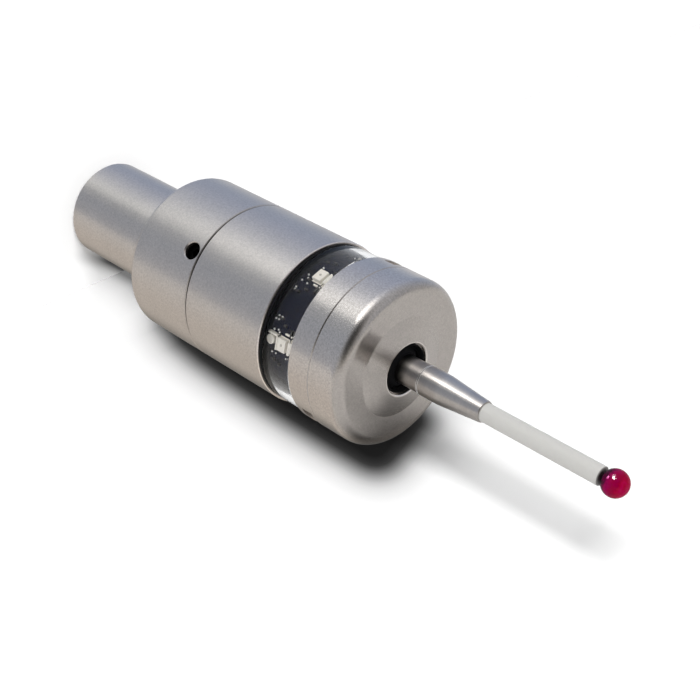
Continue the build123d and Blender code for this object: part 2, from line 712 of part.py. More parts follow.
def make_front_cap():
    """Front cap: rounded shoulder, flat annulus, coned hub and the hole for the stylus."""
    shoulder = Z_CAP + CAP_CYLINDER_LENGTH
    flat_radius = BODY_RADIUS - CAP_SHOULDER_ROUND
    lip = CAP_HOLE_RADIUS + CAP_HOLE_LIP
    step_radius = CAP_HOLE_RADIUS - CAP_HOLE_STEP
    step = Z_FRONT - CAP_HOLE_STEP_DEPTH
    seat = DIAPHRAGM_RADIUS + FIT_CLEARANCE
    skirt_end = Z_NOSE + CORE_SHOULDER_LENGTH + FIT_CLEARANCE
    half_turn = CAP_SHOULDER_ROUND * sqrt(0.5)
    corner = (flat_radius + half_turn, shoulder + half_turn)
    points = [
        (flat_radius, Z_ANNULUS),
        (CAP_HUB_RADIUS, Z_ANNULUS),
        (lip, Z_FRONT),
        (CAP_HOLE_RADIUS + CAP_HOLE_CHAMFER, Z_FRONT),
        (CAP_HOLE_RADIUS, Z_FRONT - CAP_HOLE_CHAMFER),
        (CAP_HOLE_RADIUS, step),
        (step_radius, step),
        (step_radius, Z_CEILING),
        (seat, Z_CEILING),
        (seat, Z_CEILING - CAP_CEILING_SINK),
        (CAP_BORE, Z_CEILING - CAP_CEILING_SINK),
        (CAP_BORE, skirt_end),
        (SKIRT_RADIUS, skirt_end),
        (SKIRT_RADIUS, Z_CAP),
        (BODY_RADIUS - EDGE_CHAMFER, Z_CAP),
        (BODY_RADIUS, Z_CAP + EDGE_CHAMFER),
        (BODY_RADIUS, shoulder),
    ]
    arc = ThreePointArc((BODY_RADIUS, 0, shoulder), (corner[0], 0, corner[1]), (flat_radius, 0, Z_ANNULUS))
    edges = [line(a, b) for a, b in zip(points, points[1:])]
    return revolve(profile(*edges, arc), axis=Axis.Z)


def make_diaphragm():
    """Rubber diaphragm with a lip around the holder."""
    lip_bore = HOLDER_RADIUS + DIAPHRAGM_CLEARANCE
    lip_outer = lip_bore + DIAPHRAGM_LIP
    web = Z_PIVOT + BUSH_HALF_HEIGHT + DIAPHRAGM_BUSH_GAP
    bottom = Z_CEILING - DIAPHRAGM_THICKNESS
    rim = CAP_HOLE_RADIUS - CAP_HOLE_STEP - DIAPHRAGM_CLEARANCE
    knee = rim - DIAPHRAGM_DISH_SLOPE
    half = DIAPHRAGM_THICKNESS / 2
    return turned(
        (lip_bore, web),
        (lip_bore, web + DIAPHRAGM_LIP_HEIGHT),
        (lip_outer, web + DIAPHRAGM_LIP_HEIGHT),
        (lip_outer + DIAPHRAGM_CLEARANCE, web + DIAPHRAGM_THICKNESS),
        (knee, web + DIAPHRAGM_THICKNESS),
        (rim, Z_CEILING),
        (DIAPHRAGM_RADIUS, Z_CEILING),
        (DIAPHRAGM_RADIUS, bottom),
        (rim - half, bottom),
        (knee - half, web),
    )


def make_clamp_ring():
    """Ring that presses the diaphragm's edge against the cap."""
    top = Z_CEILING - DIAPHRAGM_THICKNESS
    return tube(DIAPHRAGM_RADIUS, DIAPHRAGM_RADIUS - CLAMP_RING_WALL, top - CLAMP_RING_THICKNESS, top)


def make_mechanism_housing():
    """Cup that holds the socket, the spring and its adjuster."""
    return turned(
        (ADJUSTER_RADIUS + THREAD_CLEARANCE, Z_HOUSING),
        (HOUSING_RADIUS, Z_HOUSING),
        (HOUSING_RADIUS, Z_CORE_FRONT),
        (HOUSING_FLANGE_RADIUS, Z_CORE_FRONT),
        (HOUSING_FLANGE_RADIUS, Z_SOCKET_FRONT),
        (HOUSING_SEAT_RADIUS, Z_SOCKET_FRONT),
        (HOUSING_SEAT_RADIUS, Z_SOCKET_REAR),
        (HOUSING_BORE_RADIUS, Z_SOCKET_REAR),
        (HOUSING_BORE_RADIUS, Z_HOUSING + HOUSING_FLOOR),
        (ADJUSTER_RADIUS + THREAD_CLEARANCE, Z_HOUSING + HOUSING_FLOOR),
    )


def make_socket_ring():
    """Front half of the ball's socket."""
    outer = HOUSING_SEAT_RADIUS - THREAD_CLEARANCE
    front = on_sphere(SOCKET_RADIUS, SOCKET_FRONT)
    rear = on_sphere(SOCKET_RADIUS, SOCKET_SPLIT)
    face = profile(
        sphere_arc(SOCKET_RADIUS, SOCKET_FRONT, SOCKET_SPLIT),
        line(rear, (outer, rear[1])),
        line((outer, rear[1]), (outer, front[1])),
        line((outer, front[1]), front),
    )
    return revolve(face, axis=Axis.Z)


def make_socket_retainer():
    """Rear half of the socket, flared so that the tilted holder stays clear."""
    outer = HOUSING_SEAT_RADIUS - THREAD_CLEARANCE
    front = on_sphere(SOCKET_RADIUS, SOCKET_SPLIT)
    lip = on_sphere(SOCKET_RADIUS, RETAINER_LIP)
    face = profile(
        sphere_arc(SOCKET_RADIUS, SOCKET_SPLIT, RETAINER_LIP),
        line(lip, (RETAINER_FLARE_RADIUS, Z_SOCKET_REAR)),
        line((RETAINER_FLARE_RADIUS, Z_SOCKET_REAR), (outer, Z_SOCKET_REAR)),
        line((outer, Z_SOCKET_REAR), (outer, front[1])),
        line((outer, front[1]), front),
    )
    return revolve(face, axis=Axis.Z)


def ball_zone(outer, inner_edges, half_height):
    """A turned zone of a sphere about the pivot, closed by the given inner edges."""
    return revolve(profile(sphere_arc(outer, -half_height, half_height), *inner_edges), axis=Axis.Z)


def make_socket_liner():
    """Bearing liner between socket and bush, which takes the tilt about X."""
    low, high = -LINER_HALF_HEIGHT, LINER_HALF_HEIGHT
    inner = [
        line(on_sphere(LINER_RADIUS, high), on_sphere(LINER_BORE, high)),
        sphere_arc(LINER_BORE, high, low),
        line(on_sphere(LINER_BORE, low), on_sphere(LINER_RADIUS, low)),
    ]
    return ball_zone(LINER_RADIUS, inner, LINER_HALF_HEIGHT)


def make_ball_bush():
    """Ball with a bore that guides the holder, and takes the tilt about Y."""
    bore = HOLDER_RADIUS + BUSH_BORE_CLEARANCE
    low = on_sphere(BUSH_RADIUS, -BUSH_HALF_HEIGHT)
    high = on_sphere(BUSH_RADIUS, BUSH_HALF_HEIGHT)
    inner = [
        line(high, (bore, high[1])),
        line((bore, high[1]), (bore, low[1])),
        line((bore, low[1]), low),
    ]
    return ball_zone(BUSH_RADIUS, inner, BUSH_HALF_HEIGHT)


def make_sensor_board():
    """Round board behind the mechanism."""
    return tube(SENSOR_BOARD_RADIUS, 0, Z_SENSOR_BOARD, Z_SENSOR_BOARD + SENSOR_BOARD_THICKNESS)


def make_optical_sensor():
    """Light cell that watches the lens on the holder's tail."""
    bottom = Z_SENSOR_BOARD + SENSOR_BOARD_THICKNESS
    top = bottom + SENSOR_HEIGHT
    body = tube(SENSOR_RADIUS, 0, bottom, top)
    return body - tube(SENSOR_WINDOW_RADIUS, 0, top - SENSOR_WINDOW_DEPTH, top)


def make_spring_adjuster():
    """Threaded ring that sets the spring's force, with two slots for a key."""
    bottom = Z_HOUSING + ADJUSTER_SINK
    body = tube(ADJUSTER_RADIUS, SENSOR_RADIUS + SENSOR_CLEARANCE, bottom, Z_ADJUSTER_FRONT)
    half = ADJUSTER_SLOT_WIDTH / 2
    slot = box_at((-ADJUSTER_RADIUS, ADJUSTER_RADIUS), (-half, half), (bottom, bottom + ADJUSTER_SLOT_DEPTH))
    return body - slot


def make_return_spring():
    """Coil spring that holds the stylus out."""
    bottom = Z_ADJUSTER_FRONT + SPRING_END_GAP + SPRING_WIRE_RADIUS
    height = Z_FLANGE_REAR - SPRING_END_GAP - SPRING_WIRE_RADIUS - bottom
    path = Pos(0, 0, bottom) * Helix(pitch=height / SPRING_TURNS, height=height, radius=SPRING_RADIUS)
    section = Plane(origin=path @ 0, z_dir=path % 0) * Circle(SPRING_WIRE_RADIUS)
    return sweep(section, path=path, is_frenet=True)


def make_stylus_holder():
    """Sliding holder: shaft, stop flange, tail for the lens and a threaded hole for the stylus."""
    tail = Z_FLANGE_REAR - HOLDER_TAIL_LENGTH
    hole = STUD_RADIUS + STUD_CLEARANCE
    hole_bottom = Z_SEAT - STUD_LENGTH - STUD_CLEARANCE
    pocket = LENS_RADIUS + STUD_CLEARANCE
    return turned(
        (0, tail + LENS_THICKNESS),
        (pocket, tail + LENS_THICKNESS),
        (pocket, tail),
        (HOLDER_TAIL_RADIUS, tail),
        (HOLDER_TAIL_RADIUS, Z_FLANGE_REAR),
        (HOLDER_FLANGE_RADIUS, Z_FLANGE_REAR),
        (HOLDER_FLANGE_RADIUS, Z_FLANGE_FRONT),
        (HOLDER_RADIUS, Z_FLANGE_FRONT),
        (HOLDER_RADIUS, Z_SEAT - HOLDER_CHAMFER),
        (HOLDER_RADIUS - HOLDER_CHAMFER, Z_SEAT),
        (hole, Z_SEAT),
        (hole, hole_bottom),
        (0, hole_bottom),
    )


def make_focusing_lens():
    """Small lens in the holder's tail, crowned towards the sensor."""
    pole = Z_FLANGE_REAR - HOLDER_TAIL_LENGTH
    crown_radius = (LENS_RADIUS**2 + LENS_CROWN**2) / (2 * LENS_CROWN)
    disc = tube(LENS_RADIUS, 0, pole, pole + LENS_THICKNESS)
    return disc & (Pos(0, 0, pole + crown_radius) * Sphere(crown_radius))


def make_stylus_base():
    """Stylus base: threaded stud, straight barrel and long taper with a socket for the stem."""
    end = Z_SEAT + BASE_LENGTH
    socket = STEM_RADIUS + STEM_CLEARANCE
    return turned(
        (0, Z_SEAT - STUD_LENGTH),
        (STUD_RADIUS, Z_SEAT - STUD_LENGTH),
        (STUD_RADIUS, Z_SEAT),
        (BASE_RADIUS - HOLDER_CHAMFER, Z_SEAT),
        (BASE_RADIUS, Z_SEAT + HOLDER_CHAMFER),
        (BASE_RADIUS, Z_SEAT + BASE_STRAIGHT),
        (BASE_TIP_RADIUS + BASE_TIP_CHAMFER / 2, end - BASE_TIP_CHAMFER),
        (BASE_TIP_RADIUS, end),
        (socket, end),
        (socket, end - STEM_SOCKET_DEPTH),
        (0, end - STEM_SOCKET_DEPTH),
    )


def make_stylus_stem():
    """Ceramic stem, with the peg that carries the ball."""
    bottom = Z_SEAT + BASE_LENGTH - STEM_SOCKET_DEPTH + STEM_CLEARANCE
    top = Z_BALL - BALL_RADIUS - STEM_END_GAP
    peg_top = Z_BALL - BALL_RADIUS + PEG_LENGTH
    return turned(
        (0, bottom),
        (STEM_RADIUS, bottom),
        (STEM_RADIUS, top - STEM_END_GAP),
        (STEM_RADIUS - STEM_END_GAP, top),
        (PEG_RADIUS, top),
        (PEG_RADIUS, peg_top),
        (0, peg_top),
    )


def make_stylus_ball():
    """Ruby ball, drilled for the peg."""
    drill = PEG_RADIUS + STEM_CLEARANCE
    depth = PEG_LENGTH + STEM_CLEARANCE
    body = Pos(0, 0, Z_BALL) * Sphere(BALL_RADIUS)
    return body - tube(drill, 0, Z_BALL - BALL_RADIUS - STEM_END_GAP, Z_BALL - BALL_RADIUS + depth)


NODES = {
    "shank_adaptor": make_shank_adaptor,
    "adjusting_screws": make_adjusting_screws,
    "centring_ball": make_centring_ball,
    "mounting_spigot": make_mounting_spigot,
    "spigot_screws": make_spigot_screws,
    "rear_plate": make_rear_plate,
    "rear_seal": make_rear_seal,
    "body_sleeve": make_body_sleeve,
    "contact_board": make_contact_board,
    "battery_holder": make_battery_holder,
    "battery_cells": make_battery_cells,
    "battery_contacts": make_battery_contacts,
    "main_board": make_main_board,
    "board_parts": make_board_parts,
    "window_core": make_window_core,
    "flexible_board": make_flexible_board,
    "infrared_lights": make_infrared_lights,
    "receivers": make_receivers,
    "chip_parts": make_chip_parts,
    "window": make_window,
    "window_rear_seal": make_window_rear_seal,
    "window_gasket": make_window_gasket,
    "nose_ring": make_nose_ring,
    "front_cap": make_front_cap,
    "diaphragm": make_diaphragm,
    "diaphragm_clamp": make_clamp_ring,
    "mechanism_housing": make_mechanism_housing,
    "socket_ring": make_socket_ring,
    "socket_retainer": make_socket_retainer,
    "socket_liner": make_socket_liner,
    "ball_bush": make_ball_bush,
    "sensor_board": make_sensor_board,
    "optical_sensor": make_optical_sensor,
    "spring_adjuster": make_spring_adjuster,
    "return_spring": make_return_spring,
    "stylus_holder": make_stylus_holder,
    "focusing_lens": make_focusing_lens,
    "stylus_base": make_stylus_base,
    "stylus_stem": make_stylus_stem,
    "stylus_ball": make_stylus_ball,
}


def solids_of(made):
    """The separate solids in what a function made."""
    pieces = made if isinstance(made, list) else [made]
    return [solid for piece in pieces for solid in piece.solids()]


def main():
    os.makedirs("parts", exist_ok=True)
    for name, make in NODES.items():
        solids = solids_of(make())
        shape = solids[0] if len(solids) == 1 else Compound(children=solids)
        shape.label = name
        export_step(shape, f"parts/{name}.step")
        print(name, len(solids))


main()
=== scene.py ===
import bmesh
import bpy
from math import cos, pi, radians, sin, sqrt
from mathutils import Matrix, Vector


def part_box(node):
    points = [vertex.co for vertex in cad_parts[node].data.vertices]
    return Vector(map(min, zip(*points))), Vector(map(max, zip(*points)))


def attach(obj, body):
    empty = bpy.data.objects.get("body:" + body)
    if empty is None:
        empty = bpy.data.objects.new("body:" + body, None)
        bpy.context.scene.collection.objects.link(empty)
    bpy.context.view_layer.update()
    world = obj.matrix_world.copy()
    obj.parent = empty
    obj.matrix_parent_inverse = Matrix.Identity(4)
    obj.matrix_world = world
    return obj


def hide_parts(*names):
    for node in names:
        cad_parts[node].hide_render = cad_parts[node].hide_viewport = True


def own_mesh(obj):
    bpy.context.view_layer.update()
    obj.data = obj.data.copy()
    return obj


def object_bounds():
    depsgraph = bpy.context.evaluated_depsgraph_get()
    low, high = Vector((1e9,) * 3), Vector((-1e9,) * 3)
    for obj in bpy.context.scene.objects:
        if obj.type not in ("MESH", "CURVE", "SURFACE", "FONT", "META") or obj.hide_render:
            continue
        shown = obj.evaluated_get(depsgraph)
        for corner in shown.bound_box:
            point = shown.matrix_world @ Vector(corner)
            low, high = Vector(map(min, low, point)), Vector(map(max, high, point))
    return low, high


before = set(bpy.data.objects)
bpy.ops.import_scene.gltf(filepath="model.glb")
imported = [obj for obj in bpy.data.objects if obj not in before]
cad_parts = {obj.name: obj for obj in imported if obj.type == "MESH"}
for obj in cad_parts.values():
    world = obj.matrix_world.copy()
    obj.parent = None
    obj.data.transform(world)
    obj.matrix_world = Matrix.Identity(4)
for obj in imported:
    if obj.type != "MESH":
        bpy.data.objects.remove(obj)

# %% [markdown]
# # A touch probe on a white table
# A machine tool's touch probe is a turned steel body with a ring of infrared lights, and a long
# stylus whose ruby ball feels for the workpiece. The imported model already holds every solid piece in
# metres, standing on its shank with +Z towards the ball. This lesson gives each piece its finish,
# adds the fine pieces that the solids leave out, and sets the studio around them.

cad_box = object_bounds()
MM = 0.001
low, high = (Vector(corner) for corner in cad_box)
middle = (low + high) / 2
print("the probe is", [round(side / MM, 1) for side in high - low], "mm")

# %% [markdown]
# ## The camera
# The photograph was taken with the probe lying on its side, from its stylus end and a little above.
# Here the probe stands up, so the camera is turned with it: it looks down along the probe and is
# rolled until the table of the photograph lies behind the body. A place and two directions say all
# of that, and the third direction follows from them.

# %% Camera
CAMERA_PLACE = Vector((0.24944, 0.00398, 0.27856))
CAMERA_RIGHT = Vector((-0.5199, -0.4878, 0.7013))
CAMERA_FORWARD = Vector((-0.8015, -0.0054, -0.5979))
CAMERA_LENS = 70.71

camera_data = bpy.data.cameras.new("camera")
camera_data.lens = CAMERA_LENS
camera_data.sensor_width = 36.0
camera_data.clip_start = 0.01
camera = bpy.data.objects.new("camera", camera_data)
bpy.context.scene.collection.objects.link(camera)
back = -CAMERA_FORWARD.normalized()
right = (CAMERA_RIGHT - back * CAMERA_RIGHT.dot(back)).normalized()
turn = Matrix((right, back.cross(right), back)).transposed()
camera.matrix_world = Matrix.Translation(CAMERA_PLACE) @ turn.to_4x4()
bpy.context.scene.camera = camera
print("the camera is", round((CAMERA_PLACE - middle).length / MM), "mm from the middle")

# %% [markdown]
# ## Helpers for materials
# A material is a small graph of nodes. These helpers keep the graphs short to read: one adds a node,
# one feeds a socket or sets it, and the rest each stand for one kind of sum or mix.

# %% Nodes and sums
def add_node(tree, kind, **values):
    """A new shader node, with attributes set by name and inputs set by name."""
    node = tree.nodes.new("ShaderNode" + kind)
    for name, value in values.items():
        if hasattr(node, name):
            setattr(node, name, value)
        else:
            node.inputs[name.replace("_", " ")].default_value = value
    return node


def join(tree, source, target):
    """Feed a socket from another one, or set it to a number or a colour."""
    if isinstance(source, bpy.types.NodeSocket):
        tree.links.new(source, target)
    elif target.type == "RGBA":
        target.default_value = (*source, 1.0)
    else:
        target.default_value = source


def math(tree, operation, *values):
    """One sum of one or two values, each a socket or a number."""
    node = add_node(tree, "Math", operation=operation)
    for value, socket in zip(values, node.inputs):
        join(tree, value, socket)
    return node.outputs[0]


def split(tree, vector):
    """The three parts of a vector."""
    node = add_node(tree, "SeparateXYZ")
    join(tree, vector, node.inputs[0])
    return node.outputs


def reach_along(tree, vector, direction):
    """How far a vector reaches along a fixed direction."""
    node = add_node(tree, "VectorMath", operation="DOT_PRODUCT")
    join(tree, vector, node.inputs[0])
    node.inputs[1].default_value = direction
    return node.outputs["Value"]


def between(tree, value, low, high, start=0.0, end=1.0, curve="LINEAR"):
    """Stretch a value that runs from start to end so that it runs from low to high."""
    node = add_node(tree, "MapRange", From_Min=start, From_Max=end, To_Min=low, To_Max=high)
    node.interpolation_type = curve
    join(tree, value, node.inputs["Value"])
    return node.outputs[0]


# %% Colours, noise and relief
COLOR_MIX_SOCKETS = (0, 6, 7)
COLOR_MIX_RESULT = 2
NOISE_ROUGHNESS = 0.6
NOISE_RANGE = (0.3, 0.7)


def ramp(tree, value, stops):
    """A colour ramp with its stops as (place, colour)."""
    node = add_node(tree, "ValToRGB")
    while len(node.color_ramp.elements) < len(stops):
        node.color_ramp.elements.new(0.5)
    for element, (place, color) in zip(node.color_ramp.elements, stops):
        element.position = place
        element.color = (*color, 1.0)
    join(tree, value, node.inputs[0])
    return node.outputs[0]


def mixed(tree, factor, first, second, blend="MIX"):
    """Two colours mixed, each a socket or a colour."""
    node = add_node(tree, "Mix", data_type="RGBA", blend_type=blend)
    for value, number in zip((factor, first, second), COLOR_MIX_SOCKETS):
        join(tree, value, node.inputs[number])
    return node.outputs[COLOR_MIX_RESULT]


def shaders_mixed(tree, factor, first, second):
    """The first shader where the factor is 0, and the second where it is 1."""
    node = add_node(tree, "MixShader")
    for source, socket in zip((factor, first, second), node.inputs):
        join(tree, source, socket)
    return node.outputs[0]


def shaders_added(tree, first, second):
    node = add_node(tree, "AddShader")
    join(tree, first, node.inputs[0])
    join(tree, second, node.inputs[1])
    return node.outputs[0]


def object_place(tree):
    return add_node(tree, "TexCoord").outputs["Object"]


def noise(tree, scale, detail, place=None):
    """Noise at a scale per metre."""
    node = add_node(tree, "TexNoise", Scale=scale, Detail=detail, Roughness=NOISE_ROUGHNESS)
    join(tree, place or object_place(tree), node.inputs["Vector"])
    return node.outputs["Fac"]


def bump(tree, shader, height, depth, strength=1.0):
    """Make small relief of a height value, in metres."""
    node = add_node(tree, "Bump", Strength=strength, Distance=depth)
    join(tree, height, node.inputs["Height"])
    join(tree, node.outputs[0], shader.inputs["Normal"])


# %% Materials
def new_material(name, color, roughness, metallic=0.0, **sockets):
    """A material with one Principled shader; the other sockets are given by their names."""
    material = bpy.data.materials.new(name)
    material.use_nodes = True
    shader = material.node_tree.nodes["Principled BSDF"]
    shader.inputs["Base Color"].default_value = (*color, 1.0)
    shader.inputs["Roughness"].default_value = roughness
    shader.inputs["Metallic"].default_value = metallic
    for socket, value in sockets.items():
        shader.inputs[socket.replace("_", " ")].default_value = value
    return material, material.node_tree, shader


def paint(material, *names):
    """Give a finish to nodes by name, in place of what they had."""
    for name in names:
        mesh = bpy.data.objects[name].data
        mesh.materials.clear()
        mesh.materials.append(material)
    print(material.name, "is on", ", ".join(names))


# %% [markdown]
# ## Turned steel
# A lathe tool leaves fine rings around the axis. They stretch each reflection along the probe, which
# an anisotropic metal does, and they show as faint bands, which a noise does when it is squeezed
# along the axis and the radius and left long around them. Cylinder coordinates give the noise both:
# the distance from the axis and the height. The body is then satin blasted, so a fine grain lies
# over the rings.

# %% Cylinder coordinates
METRES_PER_RADIAN = 0.0006


def cylinder_place(tree):
    """Radius, a little of the angle, and height as one coordinate."""
    x, y, z = split(tree, object_place(tree))
    square = math(tree, "ADD", math(tree, "MULTIPLY", x, x), math(tree, "MULTIPLY", y, y))
    angle = math(tree, "ARCTAN2", y, x)
    point = add_node(tree, "CombineXYZ")
    join(tree, math(tree, "SQRT", square), point.inputs["X"])
    join(tree, math(tree, "MULTIPLY", angle, METRES_PER_RADIAN), point.inputs["Y"])
    join(tree, z, point.inputs["Z"])
    return point.outputs[0]


# %% Turned metal
RINGS_PER_METRE = 2600.0
BANDS_PER_METRE = RINGS_PER_METRE / 9
BAND_RANGE = (0.25, 0.75)
GRAINS_PER_METRE = 2300.0
PATCHES_PER_METRE = 90.0
PATCH_SPREAD = 0.08
METAL_RELIEF = 0.0016 * MM


def turned_metal(name, color, roughness, anisotropy, grain=0.05, rings=0.04, relief=METAL_RELIEF, painted_light=()):
    """Metal with turning rings and a fine grain; painted shade and highlights each come as a function of
    the place.
    """
    material, tree, shader = new_material(
        name, color, roughness, 1.0, Anisotropic=anisotropy, Anisotropic_Rotation=0.25
    )
    tangent = add_node(tree, "Tangent", direction_type="RADIAL", axis="Z")
    join(tree, tangent.outputs[0], shader.inputs["Tangent"])
    place = cylinder_place(tree)
    fine = noise(tree, RINGS_PER_METRE, 3.0, place)
    broad = noise(tree, BANDS_PER_METRE, 4.0, place)
    speckle = noise(tree, GRAINS_PER_METRE, 2.0)
    halves = [math(tree, "MULTIPLY", part, 0.5) for part in (fine, speckle)]
    bump(tree, shader, math(tree, "ADD", *halves), relief)
    grainy = between(tree, speckle, 1 - grain, 1 + grain, *NOISE_RANGE)
    banded = between(tree, broad, 1 - rings, 1 + rings, *BAND_RANGE)
    shade = math(tree, "MULTIPLY", grainy, banded)
    for painted_mark in painted_light:
        shade = math(tree, "MULTIPLY", shade, painted_mark(tree, place))
    join(tree, mixed(tree, 1.0, color, shade, "MULTIPLY"), shader.inputs["Base Color"])
    patch = noise(tree, PATCHES_PER_METRE, 3.0)
    gloss = [roughness * (1 - PATCH_SPREAD), roughness * (1 + PATCH_SPREAD)]
    join(tree, between(tree, patch, *gloss, *NOISE_RANGE), shader.inputs["Roughness"])
    return material


# %% [markdown]
# ## Painted shade and painted edge highlights
# The metal is darkened with painted shade in its screw holes and at the foot of the stylus, and
# brightened with painted highlights along some edges. The radius and the height say where all of
# this is, so each is a factor on the metal's shade and needs no image map.

# %% Painted shade and painted edge highlights
# Painted shade in the screw holes: inside this radius and above this height.
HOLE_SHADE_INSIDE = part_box("shank_adaptor")[1][0] - 0.4 * MM
HOLE_SHADE_FADE = 0.8 * MM
HOLE_SHADE_FROM = 45 * MM
HOLE_SHADE_LEVEL = 0.03
HUB_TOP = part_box("front_cap")[1][2]
# Painted shade on the stylus where it goes into the cap's hole, fading out over these heights.
STYLUS_SHADE_SPAN = (HUB_TOP + 0.2 * MM, HUB_TOP + 2.6 * MM)
STYLUS_SHADE_LEVEL = 0.12
# Painted edge highlights: how much brighter the metal is made, and how far in the full brightness reaches.
EDGE_HIGHLIGHT_GAIN = 1.6
EDGE_HIGHLIGHT_CORE = 0.7


def painted_hole_shade(tree, place):
    """Painted shade inside the screw holes; none on the collar's outside or on the shank."""
    parts = split(tree, place)
    outside = between(tree, parts["X"], 0.0, 1.0, HOLE_SHADE_INSIDE - HOLE_SHADE_FADE, HOLE_SHADE_INSIDE)
    on_shank = math(tree, "LESS_THAN", parts["Z"], HOLE_SHADE_FROM)
    return between(tree, math(tree, "MAXIMUM", outside, on_shank), HOLE_SHADE_LEVEL, 1.0)


def painted_foot_shade(tree, place):
    """Painted shade and a painted dark reflection of the hole on the stylus inside the cap, fading out a
    little above its hub.
    """
    return between(tree, split(tree, place)["Z"], STYLUS_SHADE_LEVEL, 1.0, *STYLUS_SHADE_SPAN)


def painted_edge_highlight(part, edge, width):
    """A painted highlight: a bright line where the radius (X) or the height (Z) comes within a width of an
    edge.
    """
    def highlight_line(tree, place):
        away = math(tree, "ABSOLUTE", math(tree, "SUBTRACT", split(tree, place)[part], edge))
        return between(tree, away, EDGE_HIGHLIGHT_GAIN, 1.0, width * EDGE_HIGHLIGHT_CORE, width)
    return highlight_line


sleeve_edge_highlight = painted_edge_highlight("Z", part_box("body_sleeve")[1][2] - 0.08 * MM, 0.17 * MM)
ring_edge_highlight = painted_edge_highlight("Z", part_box("nose_ring")[0][2] + 0.08 * MM, 0.17 * MM)
hole_edge_highlight = painted_edge_highlight("X", 6.42 * MM, 0.2 * MM)
# The painted shade on the stylus spans these heights.
print("stylus_shade from", round(STYLUS_SHADE_SPAN[0] / MM, 1), "to", round(STYLUS_SHADE_SPAN[1] / MM, 1), "mm up")

# %% Outer steels
STEEL_COLOR = (0.50, 0.462, 0.43)
satin_steel = turned_metal(
    "satin_steel_finish", STEEL_COLOR, 0.31, 0.35, grain=0.13, rings=0.025, painted_light=(painted_hole_shade, sleeve_edge_highlight)
)
paint(satin_steel, "shank_adaptor", "body_sleeve")
turned_steel = turned_metal(
    "turned_steel_finish", STEEL_COLOR, 0.25, 0.6, grain=0.12, rings=0.03, painted_light=(ring_edge_highlight, hole_edge_highlight)
)
paint(turned_steel, "nose_ring", "front_cap")
stylus_steel = turned_metal(
    "stylus_steel_finish", (0.43, 0.40, 0.375), 0.30, 0.62, grain=0.06, rings=0.12, relief=0.001 * MM,
    painted_light=(painted_foot_shade,)
)
paint(stylus_steel, "stylus_base", "stylus_holder")

# %% [markdown]
# ## Hidden steels and aluminium
# These pieces show only through the window, in the screw holes or when the probe is taken apart.
# They are turned too, so they share the same graph with their own colour and gloss.

# %% Hidden metals
hard_steel = turned_metal("hard_steel_finish", (0.42, 0.42, 0.43), 0.2, 0.3)
paint(hard_steel, "centring_ball", "mounting_spigot", "socket_ring", "socket_retainer", "ball_bush")
black_steel = turned_metal("black_steel_finish", (0.006, 0.006, 0.006), 0.5, 0.0)
paint(black_steel, "adjusting_screws", "spigot_screws")
core_aluminium = turned_metal("core_aluminium_finish", (0.03, 0.03, 0.032), 0.35, 0.4)
paint(core_aluminium, "window_core", "rear_plate", "mechanism_housing", "diaphragm_clamp")
liner_bronze = turned_metal("liner_bronze_finish", (0.5, 0.33, 0.14), 0.3, 0.4)
paint(liner_bronze, "socket_liner", "spring_adjuster")
contact_brass = turned_metal("contact_brass_finish", (0.75, 0.55, 0.2), 0.25, 0.0)
paint(contact_brass, "battery_contacts")

# %% [markdown]
# ## Rubber
# The seals and the diaphragm are matt black rubber, with a fine grain from the mould and a bloom
# that is greyer in places. A fine noise bumps the surface, and a broad one mixes two greys.

# %% Rubber
MOULD_GRAINS_PER_METRE = 9000.0
BLOOMS_PER_METRE = 400.0
BLOOM_GREY = 1.8


def rubber(name, color, roughness):
    material, tree, shader = new_material(name, color, roughness, Specular_IOR_Level=0.08)
    bump(tree, shader, noise(tree, MOULD_GRAINS_PER_METRE, 2.0), 0.01 * MM, 0.4)
    bloom = noise(tree, BLOOMS_PER_METRE, 4.0)
    bloomed = tuple(part * BLOOM_GREY for part in color)
    join(tree, mixed(tree, bloom, color, bloomed), shader.inputs["Base Color"])
    return material


seal_rubber = rubber("seal_rubber_finish", (0.005, 0.005, 0.006), 0.55)
paint(seal_rubber, "rear_seal", "window_rear_seal", "window_gasket")
diaphragm_rubber = rubber("diaphragm_rubber_finish", (0.0035, 0.0035, 0.004), 0.65)
paint(diaphragm_rubber, "diaphragm")

# %% [markdown]
# ## Electronics behind the window
# The packages are cream ceramic and the chips dark, each one colour with a slight mottle, so one
# graph serves them all. The flexible board is a black film with copper tracks that show through it
# as faint raised lines. Sines on the height and the angle give a grid of thin lines, and a noise
# hides it in places.

# %% Moulded and fired finishes
RELIEF_FINER = 6


def plain_finish(name, color, roughness, mottle=0.08, scale=1500.0, relief=0.003 * MM):
    """A moulded or fired finish: one colour with a mottle and a fine relief."""
    material, tree, shader = new_material(name, color, roughness)
    darker = tuple(part * (1 - mottle) for part in color)
    join(tree, mixed(tree, noise(tree, scale, 4.0), color, darker), shader.inputs["Base Color"])
    bump(tree, shader, noise(tree, scale * RELIEF_FINER, 2.0), relief)
    return material


light_ceramic = plain_finish("light_ceramic_finish", (0.92, 0.88, 0.80), 0.45, 0.06)
paint(light_ceramic, "infrared_lights", "receivers")
chip_ceramic = plain_finish("chip_ceramic_finish", (0.022, 0.019, 0.018), 0.4)
paint(chip_ceramic, "chip_parts")
chip_black = plain_finish("chip_black_finish", (0.015, 0.015, 0.016), 0.45, 0.3)
paint(chip_black, "board_parts", "optical_sensor", "battery_holder")
board_green = plain_finish("circuit_board_finish", (0.01, 0.06, 0.03), 0.35)
paint(board_green, "contact_board", "main_board", "sensor_board")
paint(plain_finish("cell_can_finish", (0.05, 0.12, 0.3), 0.3), "battery_cells")

# %% Flexible film
FILM_COLOR = (0.004, 0.0055, 0.018)
TRACK_COLOR = (0.014, 0.010, 0.012)
TRACK_PITCH = 1.1 * MM
TRACKS_AROUND = 66.0
TRACK_CREST = (0.86, 0.95)
PRINTED_PATCHES_PER_METRE = 260.0
PRINTED_RANGE = (0.45, 0.6)


